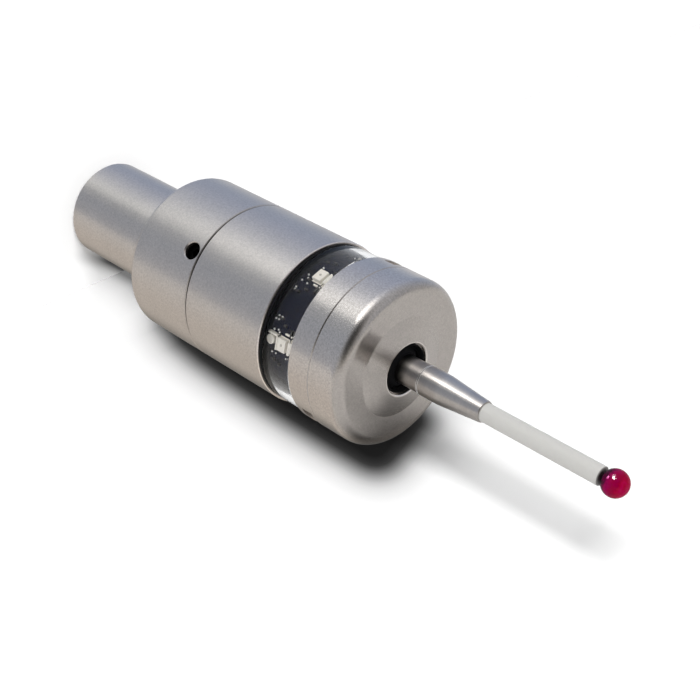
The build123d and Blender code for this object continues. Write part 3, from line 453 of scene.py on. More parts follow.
def flexible_film(name):
    material, tree, shader = new_material(name, FILM_COLOR, 0.45, Specular_IOR_Level=0.06)
    x, y, z = split(tree, object_place(tree))
    along = math(tree, "SINE", math(tree, "MULTIPLY", z, 2 * pi / TRACK_PITCH))
    angle = math(tree, "ARCTAN2", y, x)
    around = math(tree, "SINE", math(tree, "MULTIPLY", angle, TRACKS_AROUND))
    lines = between(tree, math(tree, "MAXIMUM", along, around), 0.0, 1.0, *TRACK_CREST)
    printed = between(tree, noise(tree, PRINTED_PATCHES_PER_METRE, 2.0), 0.0, 1.0, *PRINTED_RANGE)
    tracks = math(tree, "MULTIPLY", lines, printed)
    join(tree, mixed(tree, tracks, FILM_COLOR, TRACK_COLOR), shader.inputs["Base Color"])
    bump(tree, shader, tracks, 0.01 * MM, 0.6)
    return material


paint(flexible_film("flex_film_finish"), "flexible_board")

# %% [markdown]
# ## Window and lens
# The window is a clear polished ring with a thin black painted edge at its rear, next to the seal. A
# mask from the height mixes the paint into the same finish, so the ring stays one piece. A low
# refraction moves the lights behind it only a little.

# %% Window and lens
PAINTED_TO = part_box("window")[0][2] + 0.15 * MM
PAINT_FADE = 0.05 * MM
PAINT_COLOR = (0.001, 0.001, 0.0012)
CLEAR_COLOR = (1.0, 1.0, 1.0)
CLEAR_REFRACTION = 1.2
SMEARS_PER_METRE = 120.0
SMEAR_RANGE = (0.0, 0.02, 0.4, 0.8)


def clear(name, painted_to=None):
    """Clear moulding, with black paint on it below a height."""
    glass = {"Transmission_Weight": 1.0, "IOR": CLEAR_REFRACTION}
    material, tree, shader = new_material(name, CLEAR_COLOR, 0.0, **glass)
    smear = between(tree, noise(tree, SMEARS_PER_METRE, 3.0), *SMEAR_RANGE)
    join(tree, smear, shader.inputs["Roughness"])
    if painted_to is not None:
        fade = (painted_to - PAINT_FADE, painted_to + PAINT_FADE)
        painted = between(tree, split(tree, object_place(tree))["Z"], 1.0, 0.0, *fade)
        black = add_node(tree, "BsdfPrincipled", Roughness=0.5, Specular_IOR_Level=0.0)
        join(tree, PAINT_COLOR, black.inputs["Base Color"])
        surface = shaders_mixed(tree, painted, shader.outputs[0], black.outputs[0])
        join(tree, surface, tree.nodes["Material Output"].inputs["Surface"])
    return material


paint(clear("window_glass_finish", PAINTED_TO), "window")
paint(clear("lens_glass_finish"), "focusing_lens")

# %% [markdown]
# ## Ruby ball
# The ball is one crystal of synthetic ruby, ground and polished. Its colour holds painted light:
# painted shade where it sits on its stem, a magenta painted reflection of the stem behind that, and
# crimson painted light at its tip, where the light gathers. Tinted glass would need the photograph's
# own surroundings for that, so a ramp along the stem colours a glossy ball, and a noise clouds it a
# little.

# %% Ruby ball
BALL_LOW, BALL_HIGH = (corner[2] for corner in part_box("stylus_ball"))
# Painted shade at the stem, a painted reflection in magenta, and painted light in crimson at the tip.
BALL_PAINTED_LIGHT_STOPS = (
    (0.12, (0.010, 0.0, 0.005)),
    (0.30, (0.09, 0.0, 0.030)),
    (0.43, (0.23, 0.0, 0.058)),
    (0.62, (0.25, 0.0, 0.044)),
    (0.78, (0.26, 0.0, 0.030)),
    (0.88, (0.35, 0.0, 0.034)),
    (0.98, (0.38, 0.0, 0.055)),
)
RUBY_COLOR = (0.3, 0.0, 0.05)
CLOUDS_PER_METRE = 700.0
CLOUD_SHIFT = 0.12


def ruby_crystal(name):
    material, tree, shader = new_material(name, RUBY_COLOR, 0.06, IOR=1.15)
    along = between(tree, split(tree, object_place(tree))["Z"], 0.0, 1.0, BALL_LOW, BALL_HIGH)
    cloud = between(tree, noise(tree, CLOUDS_PER_METRE, 2.0), -CLOUD_SHIFT, CLOUD_SHIFT, *NOISE_RANGE)
    join(tree, ramp(tree, math(tree, "ADD", along, cloud), BALL_PAINTED_LIGHT_STOPS), shader.inputs["Base Color"])
    return material


paint(ruby_crystal("ruby_finish"), "stylus_ball")

# %% [markdown]
# ## Ceramic stem
# The stem is ground alumina: matt white, with a hardly visible mottle. The dark glue that holds the
# ball shows on its end face, with painted shade laid over it where the face looks at the ball; both
# are thinner towards the edge. They are mixed over the stem's colour by radius, and only near the
# end face.

# %% Ceramic stem
# Glue and painted shade on the end face: full inside the first radius, thin at the second.
GLUE_AND_SHADE_FADE = (1.25 * MM, 2.15 * MM)
GLUE_AND_SHADE_THIN = 0.2
GLUE_AND_SHADE_HEIGHT = BALL_HIGH - 6.2 * MM
GLUE_AND_SHADE_COLOR = (0.020, 0.005, 0.009)


def glued_and_shaded_ceramic(name):
    material = plain_finish(name, (0.56, 0.552, 0.528), 0.5, 0.05, 900.0, 0.004 * MM)
    tree = material.node_tree
    color_socket = tree.nodes["Principled BSDF"].inputs["Base Color"]
    clean_color = color_socket.links[0].from_socket
    parts = split(tree, cylinder_place(tree))
    inside = between(tree, parts["X"], 1.0, GLUE_AND_SHADE_THIN, *GLUE_AND_SHADE_FADE)
    glue_and_shade = math(tree, "MULTIPLY", inside, math(tree, "GREATER_THAN", parts["Z"], GLUE_AND_SHADE_HEIGHT))
    join(tree, mixed(tree, glue_and_shade, clean_color, GLUE_AND_SHADE_COLOR), color_socket)
    return material


paint(glued_and_shaded_ceramic("stem_ceramic_finish"), "stylus_stem")

# %% [markdown]
# ## Helpers for modelling
# New pieces are made as by hand: everything is deselected, a primitive is added, faces are picked by
# where they lie, and operators shape them. A finished piece keeps its place in its mesh, so its
# object is applied at the origin.

# %% Picking and placing
def fresh():
    """Leave edit mode and deselect everything."""
    if bpy.context.mode != "OBJECT":
        bpy.ops.object.mode_set(mode="OBJECT")
    bpy.ops.object.select_all(action="DESELECT")


def select_only(obj):
    fresh()
    obj.select_set(True)
    bpy.context.view_layer.objects.active = obj


def pick(obj, wanted):
    """In edit mode, select just the faces whose centre and normal pass a test."""
    bpy.ops.mesh.select_mode(type="FACE")
    bpy.ops.mesh.select_all(action="DESELECT")
    mesh = bmesh.from_edit_mesh(obj.data)
    for face in mesh.faces:
        if wanted(face.calc_center_median(), face.normal):
            face.select_set(True)
    bmesh.update_edit_mesh(obj.data)


def outward(center, normal):
    """The face of a piece on +X that looks away from the axis."""
    return normal.x > 0.9


def apply_place(obj):
    """Put the object's place and turn into its mesh."""
    select_only(obj)
    bpy.ops.object.transform_apply(location=True, rotation=True, scale=True)


def copies_around(part, places):
    """Copies of a part at turns about the probe's axis and lifts along it, instead of the part."""
    copies = []
    for degrees, lift in places:
        select_only(part)
        bpy.ops.object.duplicate(linked=False)
        copy = bpy.context.object
        copy.matrix_world = Matrix.Rotation(radians(degrees), 4, "Z") @ Matrix.Translation((0, 0, lift))
        apply_place(copy)
        copies.append(copy)
    bpy.data.objects.remove(part)
    return copies


# %% Blocks, discs and named pieces
MOULDED_EDGE = 0.06 * MM


def modify(obj, kind, **values):
    """Add a modifier with its values and apply it."""
    select_only(obj)
    modifier = obj.modifiers.new(kind.lower(), kind)
    for name, value in values.items():
        setattr(modifier, name, value)
    bpy.ops.object.modifier_apply(modifier=modifier.name)


def round_edges(obj, width, sharper_than=50):
    """Round the edges that are sharper than an angle."""
    modify(obj, "BEVEL", width=width, segments=2, limit_method="ANGLE", angle_limit=radians(sharper_than))


def make_cube(center, size):
    fresh()
    bpy.ops.mesh.primitive_cube_add(size=1, location=center)
    cube = bpy.context.object
    cube.scale = size
    apply_place(cube)
    return cube


def make_block(low_corner, high_corner):
    """A block between two corners with rounded edges."""
    low_corner, high_corner = Vector(low_corner), Vector(high_corner)
    block = make_cube((low_corner + high_corner) / 2, high_corner - low_corner)
    round_edges(block, MOULDED_EDGE)
    return block


def make_disc(radius, length, place, sides, steps):
    """A disc on +X whose outward face is inset by steps of (width, rise) in millimetres."""
    fresh()
    bpy.ops.mesh.primitive_cylinder_add(
        vertices=sides, radius=radius, depth=length, location=place, rotation=(0, pi / 2, 0)
    )
    disc = bpy.context.object
    apply_place(disc)
    bpy.ops.object.mode_set(mode="EDIT")
    pick(disc, outward)
    for width, rise in steps:
        bpy.ops.mesh.inset(thickness=width * MM, depth=rise * MM)
    bpy.ops.object.mode_set(mode="OBJECT")
    return disc


def gather(name, parts, body, finish, slot, *replaced, smooth_below=35):
    """Join parts to one named piece that rides on a body, smooth below an angle or else flat."""
    fresh()
    for part in parts:
        part.select_set(True)
    bpy.context.view_layer.objects.active = parts[0]
    if len(parts) > 1:
        bpy.ops.object.join()
    piece = bpy.context.object
    piece.name = name
    piece.data.name = name
    piece.data.materials.clear()
    piece.data.materials.append(finish)
    apply_place(piece)
    if smooth_below is not None:
        bpy.ops.object.shade_smooth_by_angle(angle=radians(smooth_below))
    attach(piece, body)
    if replaced:
        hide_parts(*replaced)
    print(name, "has", len(piece.data.polygons), "faces")
    return piece


# %% [markdown]
# ## Light packages
# Each light is a square ceramic package: a head on a narrower waist, with a shallow square recess in
# its face. A cut across a cube divides head from waist, insets and extrusions shape both, and a
# bevel breaks the edges. One is made, and then copied two in line at six places around the board.

# %% Light packages
BOARD_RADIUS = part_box("flexible_board")[1][0]
SLEEVE_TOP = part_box("body_sleeve")[1][2]
BOARD_GAP = 0.05 * MM
LIGHT_SIZE = (1.15 * MM, 2.95 * MM, 2.5 * MM)
LIGHT_PITCH = 3.25 * MM
LIGHT_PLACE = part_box("infrared_lights")[0][2] + 1.3 * MM
LIGHT_ANGLES = tuple(range(-30, 330, 60))
LIGHT_TOP = BOARD_RADIUS + BOARD_GAP + LIGHT_SIZE[0]
HEAD_HEIGHT = 0.55 * MM
WAIST_BORDER = 0.12 * MM
WAIST_DEPTH = 0.08 * MM
RIM_WIDTH = 0.28 * MM
RECESS_DEPTH = 0.05 * MM
RECESS_BORDER = 0.06 * MM
print("board radius", round(BOARD_RADIUS / MM, 2), "mm, lights", round(LIGHT_PLACE / MM, 2), "mm up")


def make_package():
    """A light package on +X, its foot just over the board."""
    block = make_cube((LIGHT_TOP - LIGHT_SIZE[0] / 2, 0, LIGHT_PLACE), LIGHT_SIZE)
    bpy.ops.object.mode_set(mode="EDIT")
    # A border of no width on the foot keeps the bevel from rounding its edge.
    pick(block, lambda center, normal: normal.x < -0.9)
    bpy.ops.mesh.inset(thickness=0.0, depth=0.0)
    bpy.ops.mesh.select_all(action="SELECT")
    bpy.ops.mesh.bisect(plane_co=(LIGHT_TOP - HEAD_HEIGHT, 0, 0), plane_no=(1, 0, 0))
    pick(block, lambda center, normal: center.x < LIGHT_TOP - HEAD_HEIGHT and abs(normal.x) < 0.1)
    bpy.ops.mesh.inset(thickness=WAIST_BORDER, depth=0.0, use_even_offset=True)
    bpy.ops.mesh.extrude_region_shrink_fatten(TRANSFORM_OT_shrink_fatten={"value": -WAIST_DEPTH})
    pick(block, outward)
    bpy.ops.mesh.inset(thickness=RIM_WIDTH, depth=0.0)
    bpy.ops.mesh.extrude_region_shrink_fatten(TRANSFORM_OT_shrink_fatten={"value": -RECESS_DEPTH})
    bpy.ops.mesh.inset(thickness=RECESS_BORDER, depth=0.0)
    bpy.ops.object.mode_set(mode="OBJECT")
    round_edges(block, 0.07 * MM)
    return block


light_places = [(angle, row * LIGHT_PITCH) for angle in LIGHT_ANGLES for row in (0, 1)]
packages = copies_around(make_package(), light_places)
gather("light_packages", packages, "probe_body", light_ceramic, "light_ceramic", "infrared_lights")

# %% [markdown]
# ## Light dots
# The light itself is a round dot in the middle of each recess, with a slightly sunk face. It is a
# flat disc whose outward face is inset and pushed in.

# %% Light dots
DOT_RADIUS = 0.30 * MM
DOT_LENGTH = 0.12 * MM
DOT_STEPS = ((0.12, -0.03),)

dot = make_disc(DOT_RADIUS, DOT_LENGTH, (LIGHT_TOP - RECESS_DEPTH, 0, LIGHT_PLACE), 20, DOT_STEPS)
dot_finish = plain_finish("light_dot_finish", (0.52, 0.49, 0.43), 0.35, 0.1)
dots = copies_around(dot, light_places)
gather("light_dots", dots, "probe_body", dot_finish, "chip_ceramic", smooth_below=None)

# %% [markdown]
# ## Receivers
# A receiver is a round cream disc on the board, in the corner of a white frame that keeps the
# lights' glare from it. The disc is a cylinder whose face is inset to a rim, a step and a low middle
# that rises again. The frame is two blocks.

# %% Receivers
RECEIVER_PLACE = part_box("receivers")[0][2] + 0.7 * MM
RECEIVER_ANGLES = (30, 150, 270)
DISC_RADIUS = 1.14 * MM
DISC_SIDE = -0.05 * MM
DISC_HEIGHT = 1.0 * MM
DISC_STEPS = ((0.26, 0.0), (0.06, -0.22), (0.3, 0.03), (0.2, 0.03))
FRAME_HEIGHT = 1.0 * MM
FRAME_WALL = 0.42 * MM
FRAME_SIDE = 1.75 * MM
FRAME_START = SLEEVE_TOP + 0.35 * MM
FRAME_END = LIGHT_PLACE - LIGHT_SIZE[2] / 2 - 0.25 * MM

foot = BOARD_RADIUS + BOARD_GAP
top = foot + FRAME_HEIGHT
disc_place = (foot + DISC_HEIGHT / 2, DISC_SIDE, RECEIVER_PLACE)
disc = make_disc(DISC_RADIUS, DISC_HEIGHT, disc_place, 48, DISC_STEPS)
round_edges(disc, 0.05 * MM)
side_wall = make_block((foot, -FRAME_SIDE, FRAME_START), (top, FRAME_WALL - FRAME_SIDE, FRAME_END))
end_wall = make_block((foot, -FRAME_SIDE, FRAME_END - FRAME_WALL), (top, FRAME_SIDE, FRAME_END))
units = []
for part in (disc, side_wall, end_wall):
    units += copies_around(part, [(angle, 0.0) for angle in RECEIVER_ANGLES])
gather("receiver_units", units, "probe_body", light_ceramic, "light_ceramic", "receivers")

# %% [markdown]
# ## Solder on the board
# Small domes of bright solder sit at the ends of the tiny parts, in loose groups around each light
# and each receiver. One dome is a small ball half sunk in the board, copied to its places. Each
# place is a turn away from its light in degrees and a height above the sleeve in millimetres.

# %% Solder domes
DOME_RADIUS = 0.23 * MM
DOME_LIFT = 0.32 * MM
DOMES_BY_LIGHT = (
    (2.5, 1.8), (5.5, 2.5), (15.9, 1.45), (17.8, 1.65), (9.0, 1.5), (9.6, 3.3), (-9.0, 3.1), (-12.0, 7.4),
)
DOMES_BY_RECEIVER = (
    (-19.0, 1.5), (-19.0, 2.5), (-16.3, 1.8), (-16.0, 0.9), (-7.9, 1.35), (-8.9, 2.6), (-7.4, 3.1),
    (10.3, 2.85), (10.5, 1.6), (10.4, 6.15),
)
WRINKLES_PER_METRE = 7000.0

solder, solder_tree, solder_shader = new_material("solder_finish", (0.98, 0.97, 0.95), 0.28, 0.2)
bump(solder_tree, solder_shader, noise(solder_tree, WRINKLES_PER_METRE, 2.0), 0.01 * MM, 0.5)

fresh()
bpy.ops.mesh.primitive_uv_sphere_add(
    segments=12, ring_count=8, radius=DOME_RADIUS, location=(BOARD_RADIUS + DOME_LIFT, 0, SLEEVE_TOP)
)
dome = bpy.context.object
apply_place(dome)
dome_places = []
for angle in LIGHT_ANGLES:
    group = DOMES_BY_RECEIVER if angle in RECEIVER_ANGLES else DOMES_BY_LIGHT
    dome_places += [(angle + aside, up * MM) for aside, up in group]
domes = copies_around(dome, dome_places)
gather("solder_domes", domes, "probe_body", solder, "light_ceramic", smooth_below=None)
bpy.ops.object.shade_smooth()

# %% [markdown]
# ## White bars
# A thin white bar lies along the probe beside each pair of lights, between it and the next parts. A
# rounded block does for it, on the other side where a receiver is.

# %% White bars
BAR_ASIDE = 8.1
BAR_ASIDE_BY_RECEIVER = -8.6
BAR_HALF_WIDTH = 0.19 * MM
BAR_HEIGHT = 0.5 * MM
BAR_SPAN = (SLEEVE_TOP + 4.95 * MM, SLEEVE_TOP + 7.35 * MM)

bar = make_block(
    (BOARD_RADIUS, -BAR_HALF_WIDTH, BAR_SPAN[0]), (BOARD_RADIUS + BAR_HEIGHT, BAR_HALF_WIDTH, BAR_SPAN[1])
)
bar_places = []
for angle in LIGHT_ANGLES:
    aside = BAR_ASIDE_BY_RECEIVER if angle in RECEIVER_ANGLES else BAR_ASIDE
    bar_places.append((angle + aside, 0.0))
bars = copies_around(bar, bar_places)
gather("white_bars", bars, "probe_body", light_ceramic, "light_ceramic", smooth_below=None)

# %% [markdown]
# ## A helper for turned pieces
# Round pieces start as one corner that is drawn out along a profile and then spun around the axis.
# A full turn ends where it began, so its doubled corners are merged, and its faces may look inwards,
# so they are turned out again.

# %% Turned pieces
def turned(profile, steps=96):
    """A body spun about the probe's axis from a closed profile of (radius, height) in millimetres."""
    fresh()
    bpy.ops.mesh.primitive_plane_add(size=MM, location=(0, 0, 0))
    body = bpy.context.object
    bpy.ops.object.mode_set(mode="EDIT")
    bpy.ops.mesh.select_mode(type="VERT")
    bpy.ops.mesh.select_all(action="SELECT")
    bpy.ops.mesh.merge(type="CENTER")
    place = Vector((0, 0, 0))
    for number, (radius, height) in enumerate(profile + profile[:1]):
        step = Vector((radius * MM, 0, height * MM)) - place
        if number == 0:
            bpy.ops.transform.translate(value=step)
        else:
            bpy.ops.mesh.extrude_region_move(TRANSFORM_OT_translate={"value": step})
        place += step
    bpy.ops.mesh.select_all(action="SELECT")
    bpy.ops.mesh.spin(steps=steps, angle=2 * pi, center=(0, 0, 0), axis=(0, 0, 1))
    bpy.ops.mesh.select_all(action="SELECT")
    bpy.ops.mesh.remove_doubles(threshold=0.001 * MM)
    bpy.ops.mesh.normals_make_consistent(inside=False)
    bpy.ops.object.mode_set(mode="OBJECT")
    return body


# %% [markdown]
# ## Diaphragm
# One rubber part closes the hole around the holder. A membrane can't be rigid while the stylus
# tilts, so it is made in two: a dish that stays in the cap, and a collar on the ball bush with a
# skirt. The skirt is part of a sphere about the tilt's centre, so it slides under the dish's web
# without opening much of a gap.

# %% Dish of the diaphragm
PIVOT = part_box("ball_bush")
PIVOT_HEIGHT = (PIVOT[0][2] + PIVOT[1][2]) / 2 / MM
RUBBER_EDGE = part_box("diaphragm")[1][0] / MM
FLANGE_LOW, FLANGE_HIGH = 105.45, 105.93
DISH_WALL = 5.86
DISH_TOP = 108.25
WEB_INNER, WEB_OUTER = 6.88, 7.22
WEB_RADII = (4.85, 5.0, 5.15, 5.3)


def on_ball(ball, radius):
    """The point of a ball about the pivot at a distance from the axis."""
    return (radius, PIVOT_HEIGHT + sqrt(ball * ball - radius * radius))


dish_rim = [
    (RUBBER_EDGE, FLANGE_LOW), (RUBBER_EDGE, FLANGE_HIGH), (DISH_WALL, FLANGE_HIGH), (DISH_WALL, DISH_TOP),
    (5.66, DISH_TOP + 0.1), (5.52, DISH_TOP - 0.15),
]
web_high = [on_ball(WEB_OUTER, radius) for radius in reversed(WEB_RADII)]
web_low = [on_ball(WEB_INNER, radius) for radius in WEB_RADII]
dish = turned(dish_rim + web_high + web_low + [(5.66, 106.0), (6.05, FLANGE_LOW)])
round_edges(dish, 0.05 * MM, 40)
gather("diaphragm_dish", [dish], "probe_body", diaphragm_rubber, "diaphragm_rubber", "diaphragm")

# %% Collar of the diaphragm
COLLAR_BORE, COLLAR_WALL = 3.45, 4.1
COLLAR_FOOT, COLLAR_TOP = 105.5, 108.2
SKIRT_INNER, SKIRT_OUTER = 6.50, 6.78

collar_lip = [
    (COLLAR_BORE, COLLAR_FOOT), (COLLAR_BORE, COLLAR_TOP),
    (3.62, COLLAR_TOP + 0.05), (3.72, COLLAR_TOP - 0.1),
]
skirt_out = [on_ball(SKIRT_OUTER, radius) for radius in (3.75, 4.0, 4.3, 4.6, 4.9, 5.2)]
skirt_in = [on_ball(SKIRT_INNER, radius) for radius in (5.0, 4.7, 4.4, COLLAR_WALL)]
collar = turned(collar_lip + skirt_out + skirt_in + [(COLLAR_WALL, COLLAR_FOOT)])
round_edges(collar, 0.04 * MM, 40)
gather("diaphragm_collar", [collar], "bush", diaphragm_rubber, "diaphragm_rubber")

# %% [markdown]
# ## Seat rim
# Holder and base meet in a fine groove with a polished rim on each side, which shows as a double
# bright line around the stylus. Both rims are one turned ring of bright steel that stands a little
# proud, so that the line catches the light from all sides.

# %% Seat rim
SEAT_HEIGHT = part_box("stylus_holder")[1][2] / MM
RIM_PROFILE = (
    (3.05, -0.31), (3.38, -0.29), (3.435, -0.25), (3.44, -0.21), (3.40, -0.16), (3.15, -0.12), (3.15, 0.12),
    (3.48, 0.15), (3.535, 0.19), (3.54, 0.23), (3.50, 0.27), (3.3, 0.31), (3.05, 0.31),
)
rim_steel = turned_metal(
    "seat_rim_finish", (0.86, 0.84, 0.82), 0.30, 0.0, grain=0.03, rings=0.02, relief=0.0005 * MM
)
rim = turned([(radius, SEAT_HEIGHT + height) for radius, height in RIM_PROFILE])
gather("seat_rim", [rim], "stylus", rim_steel, "stylus_steel")

# %% [markdown]
# ## Return spring
# The spring is a round wire wound in a helix, which a screw modifier makes from a circle. On the
# real probe its lower end stays in place and the coils close up as the stylus is pushed in.

# %% Return spring
spring_low, spring_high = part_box("return_spring")
WIRE_RADIUS = 0.3 * MM
SPRING_TURNS = 4
STEPS_PER_TURN = 40
coil_radius = spring_high[0] - WIRE_RADIUS
spring_length = spring_high[2] - spring_low[2]
rise = (spring_length - 2 * WIRE_RADIUS) / SPRING_TURNS
fresh()
bpy.ops.mesh.primitive_circle_add(
    vertices=14, radius=WIRE_RADIUS,
    location=(coil_radius, 0, spring_low[2] + WIRE_RADIUS), rotation=(pi / 2, 0, 0)
)
coil = bpy.context.object
apply_place(coil)
modify(
    coil, "SCREW", axis="Z", angle=2 * pi, screw_offset=rise, iterations=SPRING_TURNS,
    steps=STEPS_PER_TURN, render_steps=STEPS_PER_TURN
)
bpy.ops.object.mode_set(mode="EDIT")
bpy.ops.mesh.select_all(action="SELECT")
bpy.ops.mesh.fill_holes(sides=0)
bpy.ops.mesh.select_all(action="SELECT")
bpy.ops.mesh.normals_make_consistent(inside=False)
bpy.ops.object.mode_set(mode="OBJECT")
spring_steel = turned_metal("spring_steel_finish", (0.45, 0.45, 0.46), 0.25, 0.0)
coil = gather(
    "spring_coil", [coil], "probe_body", spring_steel, "spring_steel", "return_spring", smooth_below=60
)
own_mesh(coil)

# %% [markdown]
# ## Table and floor
# The photograph's table touches the body's side. Here it is a pale wall behind the standing probe,
# seen only from the front, and the probe stands on a pale floor. The soft dark contact with the body
# is worked out from the place on the wall: a distance from the body's outline, and a ramp from dark
# to pale. The floor keeps the probe's real shadow, is darkened behind the shank by a formula too,
# and has a faint painted glow beside the shank that lifts this shade.

# %% Where the table lies
TABLE_DIRECTION = Vector((-0.684, 0.729, 0.0)).normalized()
TABLE_DISTANCE = 0.0201
ACROSS = Vector((0.729, 0.684, 0.0))
# For each metre in front of the table, the camera sees the table this much further across.
SLANT = 1.081
SLANTED = ACROSS + TABLE_DIRECTION * SLANT


def greys(stops, scale=1.0):
    """Stops of (place, colour) from stops of (place, level)."""
    return [(place * scale, (level,) * 3) for place, level in stops]


def grey_ramp(tree, value, stops, span):
    """A value that follows stops of (millimetres, value) over a span."""
    return ramp(tree, math(tree, "DIVIDE", value, span), greys(stops, MM / span))


def across_table(tree, place):
    """How far across the table a point is seen, from the probe's axis."""
    return math(tree, "SUBTRACT", reach_along(tree, place, SLANTED), SLANT * TABLE_DISTANCE)


# %% [markdown]
# ## Contact shade
# The shade has the outline of a box with rounded corners, whose side moves in towards the shank and
# whose front lies near the front cap. Where a name holds four numbers, they are the value at the
# start, the value at the end, the start and the end.

# %% Contact shade
EDGE_SPAN = 80 * MM
EDGE_RANGE = (-10 * MM, 10 * MM)
EDGE_STOPS = ((8, 0.005), (20, 0.14), (30, 0.475), (40, 0.625), (50, 0.69), (60, 0.72), (80, 0.75))
FAR_SIDE = (22 * MM, 0.0, -26 * MM, -4 * MM)
FRONT_EDGE = (100 * MM, 102 * MM, -6 * MM, 0.0)
FRONT_RISE = (0.0, 6 * MM, 0.0, 20 * MM)
SHANK_LIFT = (0.22, 0.0, 12 * MM, 28 * MM)
ROUNDNESS = 2.5
SHADE_SPAN = 24 * MM
SHADE_STOPS = (
    (4, 0.013), (6, 0.028), (7, 0.042), (8, 0.103), (9.2, 0.22), (11, 0.435), (12, 0.57), (13.5, 0.73),
    (15, 0.82), (17, 0.90), (19, 0.96), (22, 1.0),
)


def contact_shade(tree, up, across):
    """Dark close to the body and just past its front, and paler beside the thinner shank."""
    edge = between(tree, grey_ramp(tree, up, EDGE_STOPS, EDGE_SPAN), *EDGE_RANGE)
    beside = math(tree, "MAXIMUM", math(tree, "SUBTRACT", across, edge), between(tree, across, *FAR_SIDE))
    front = math(tree, "ADD", between(tree, across, *FRONT_EDGE), between(tree, across, *FRONT_RISE))
    ahead = math(tree, "MAXIMUM", math(tree, "SUBTRACT", up, front), 0.0)
    powers = [math(tree, "POWER", math(tree, "MAXIMUM", part, 0.0), ROUNDNESS) for part in (beside, ahead)]
    distance = math(tree, "POWER", math(tree, "ADD", *powers), 1 / ROUNDNESS)
    shade = grey_ramp(tree, distance, SHADE_STOPS, SHADE_SPAN)
    return math(tree, "MAXIMUM", shade, between(tree, up, *SHANK_LIFT))


# %% Stage finishes
TABLE_COLOR = 0.29
TABLE_IN_METAL = 0.19
MIRRORED_FROM = (100 * MM, 112 * MM)
FLOOR_COLOR = 0.82
FOOT_ZONE = (8 * MM, 16 * MM)
FOOT_FADE = (20 * MM, 28 * MM)
FOOT_START = -4 * MM
FOOT_SPAN = 8 * MM
FOOT_STOPS = (
    (0, 0.93), (1.5, 0.9), (2.2, 0.84), (2.7, 0.70), (3.2, 0.58), (3.7, 0.46), (4.3, 0.33), (5.0, 0.20),
    (5.8, 0.10), (6.6, 0.03), (7.5, 0.0),
)
FOOT_GLOW = (0.0, 0.13, 0.0, 4 * MM)


def empty_material(name):
    material = bpy.data.materials.new(name)
    material.use_nodes = True
    material.node_tree.nodes.clear()
    return material, material.node_tree


def matt(tree, color):
    pale = add_node(tree, "BsdfDiffuse")
    join(tree, color, pale.inputs["Color"])
    return pale.outputs[0]


def show_unless(tree, hidden, surface):
    """End a material with a surface that lets the hidden share of the rays pass."""
    open_sight = add_node(tree, "BsdfTransparent").outputs[0]
    out = add_node(tree, "OutputMaterial")
    join(tree, shaders_mixed(tree, hidden, surface, open_sight), out.inputs["Surface"])


def table_finish(name):
    """Pale but for the contact shade, and seen from its front by the camera and by the cap's metal."""
    material, tree = empty_material(name)
    path = add_node(tree, "LightPath").outputs
    geometry = add_node(tree, "NewGeometry").outputs
    up = split(tree, geometry["Position"])["Z"]
    shade = contact_shade(tree, up, across_table(tree, geometry["Position"]))
    level = between(tree, path["Is Glossy Ray"], TABLE_COLOR, TABLE_IN_METAL)
    by_cap = math(tree, "MULTIPLY", path["Is Glossy Ray"], between(tree, up, 0.0, 1.0, *MIRRORED_FROM))
    seen = math(tree, "MAXIMUM", path["Is Camera Ray"], by_cap)
    front = math(tree, "SUBTRACT", 1.0, geometry["Backfacing"])
    hidden = math(tree, "SUBTRACT", 1.0, math(tree, "MULTIPLY", seen, front))
    show_unless(tree, hidden, matt(tree, math(tree, "MULTIPLY", level, shade)))
    return material


def floor_finish(name):
    """Pale, with the contact shade behind the shank and a faint painted glow beside it; metal looks through
    it to the studio.
    """
    material, tree = empty_material(name)
    path = add_node(tree, "LightPath").outputs
    place = add_node(tree, "NewGeometry").outputs["Position"]
    reach = add_node(tree, "VectorMath", operation="LENGTH")
    join(tree, place, reach.inputs[0])
    around_foot = between(tree, reach.outputs["Value"], 1.0, 0.0, *FOOT_FADE, "SMOOTHSTEP")
    to_table = reach_along(tree, place, TABLE_DIRECTION)
    near = math(tree, "MULTIPLY", around_foot, between(tree, to_table, 0.0, 1.0, *FOOT_ZONE, "SMOOTHSTEP"))
    across = across_table(tree, place)
    from_start = math(tree, "SUBTRACT", across, FOOT_START)
    shaded = math(tree, "MULTIPLY", near, grey_ramp(tree, from_start, FOOT_STOPS, FOOT_SPAN))
    surface = matt(tree, between(tree, shaded, FLOOR_COLOR, 0.0))
    # Painted light: the floor glows a little beside the shank, to lift the shade there.
    fill = add_node(tree, "Emission")
    join(tree, math(tree, "MULTIPLY", near, between(tree, across, *FOOT_GLOW)), fill.inputs["Strength"])
    show_unless(tree, path["Is Glossy Ray"], shaders_added(tree, surface, fill.outputs[0]))
    return material


# %% Table and floor
STAGE_SIZE = 1.6


def stage_plane(name, finish, place, turned_to):
    fresh()
    bpy.ops.mesh.primitive_plane_add(size=STAGE_SIZE, location=place, rotation=turned_to)
    plane = bpy.context.object
    plane.name = name
    plane.data.materials.append(finish)
    print("the", name, "is", STAGE_SIZE, "m wide")
    return plane


floor = stage_plane("floor", floor_finish("floor_finish"), (0, 0, 0), (0, 0, 0))
facing = (-TABLE_DIRECTION).to_track_quat("Z", "Y").to_euler()
table = stage_plane("table", table_finish("table_finish"), TABLE_DIRECTION * TABLE_DISTANCE, facing)

# %% [markdown]
# ## Studio
# What metal shows is its surroundings. The studio is a dome whose brightness changes around the
# probe: a softbox and its bright core on one side, cool grey beyond it, and warm grey on the other.
# Two ramps around the dome, one for low directions and one for high ones, are blended by height, the
# softbox is added, and a dark patch stands where the camera was. Only mirrored rays see all that.
# The camera and the window's glass see plain white, and the rest is lit by an even dome.

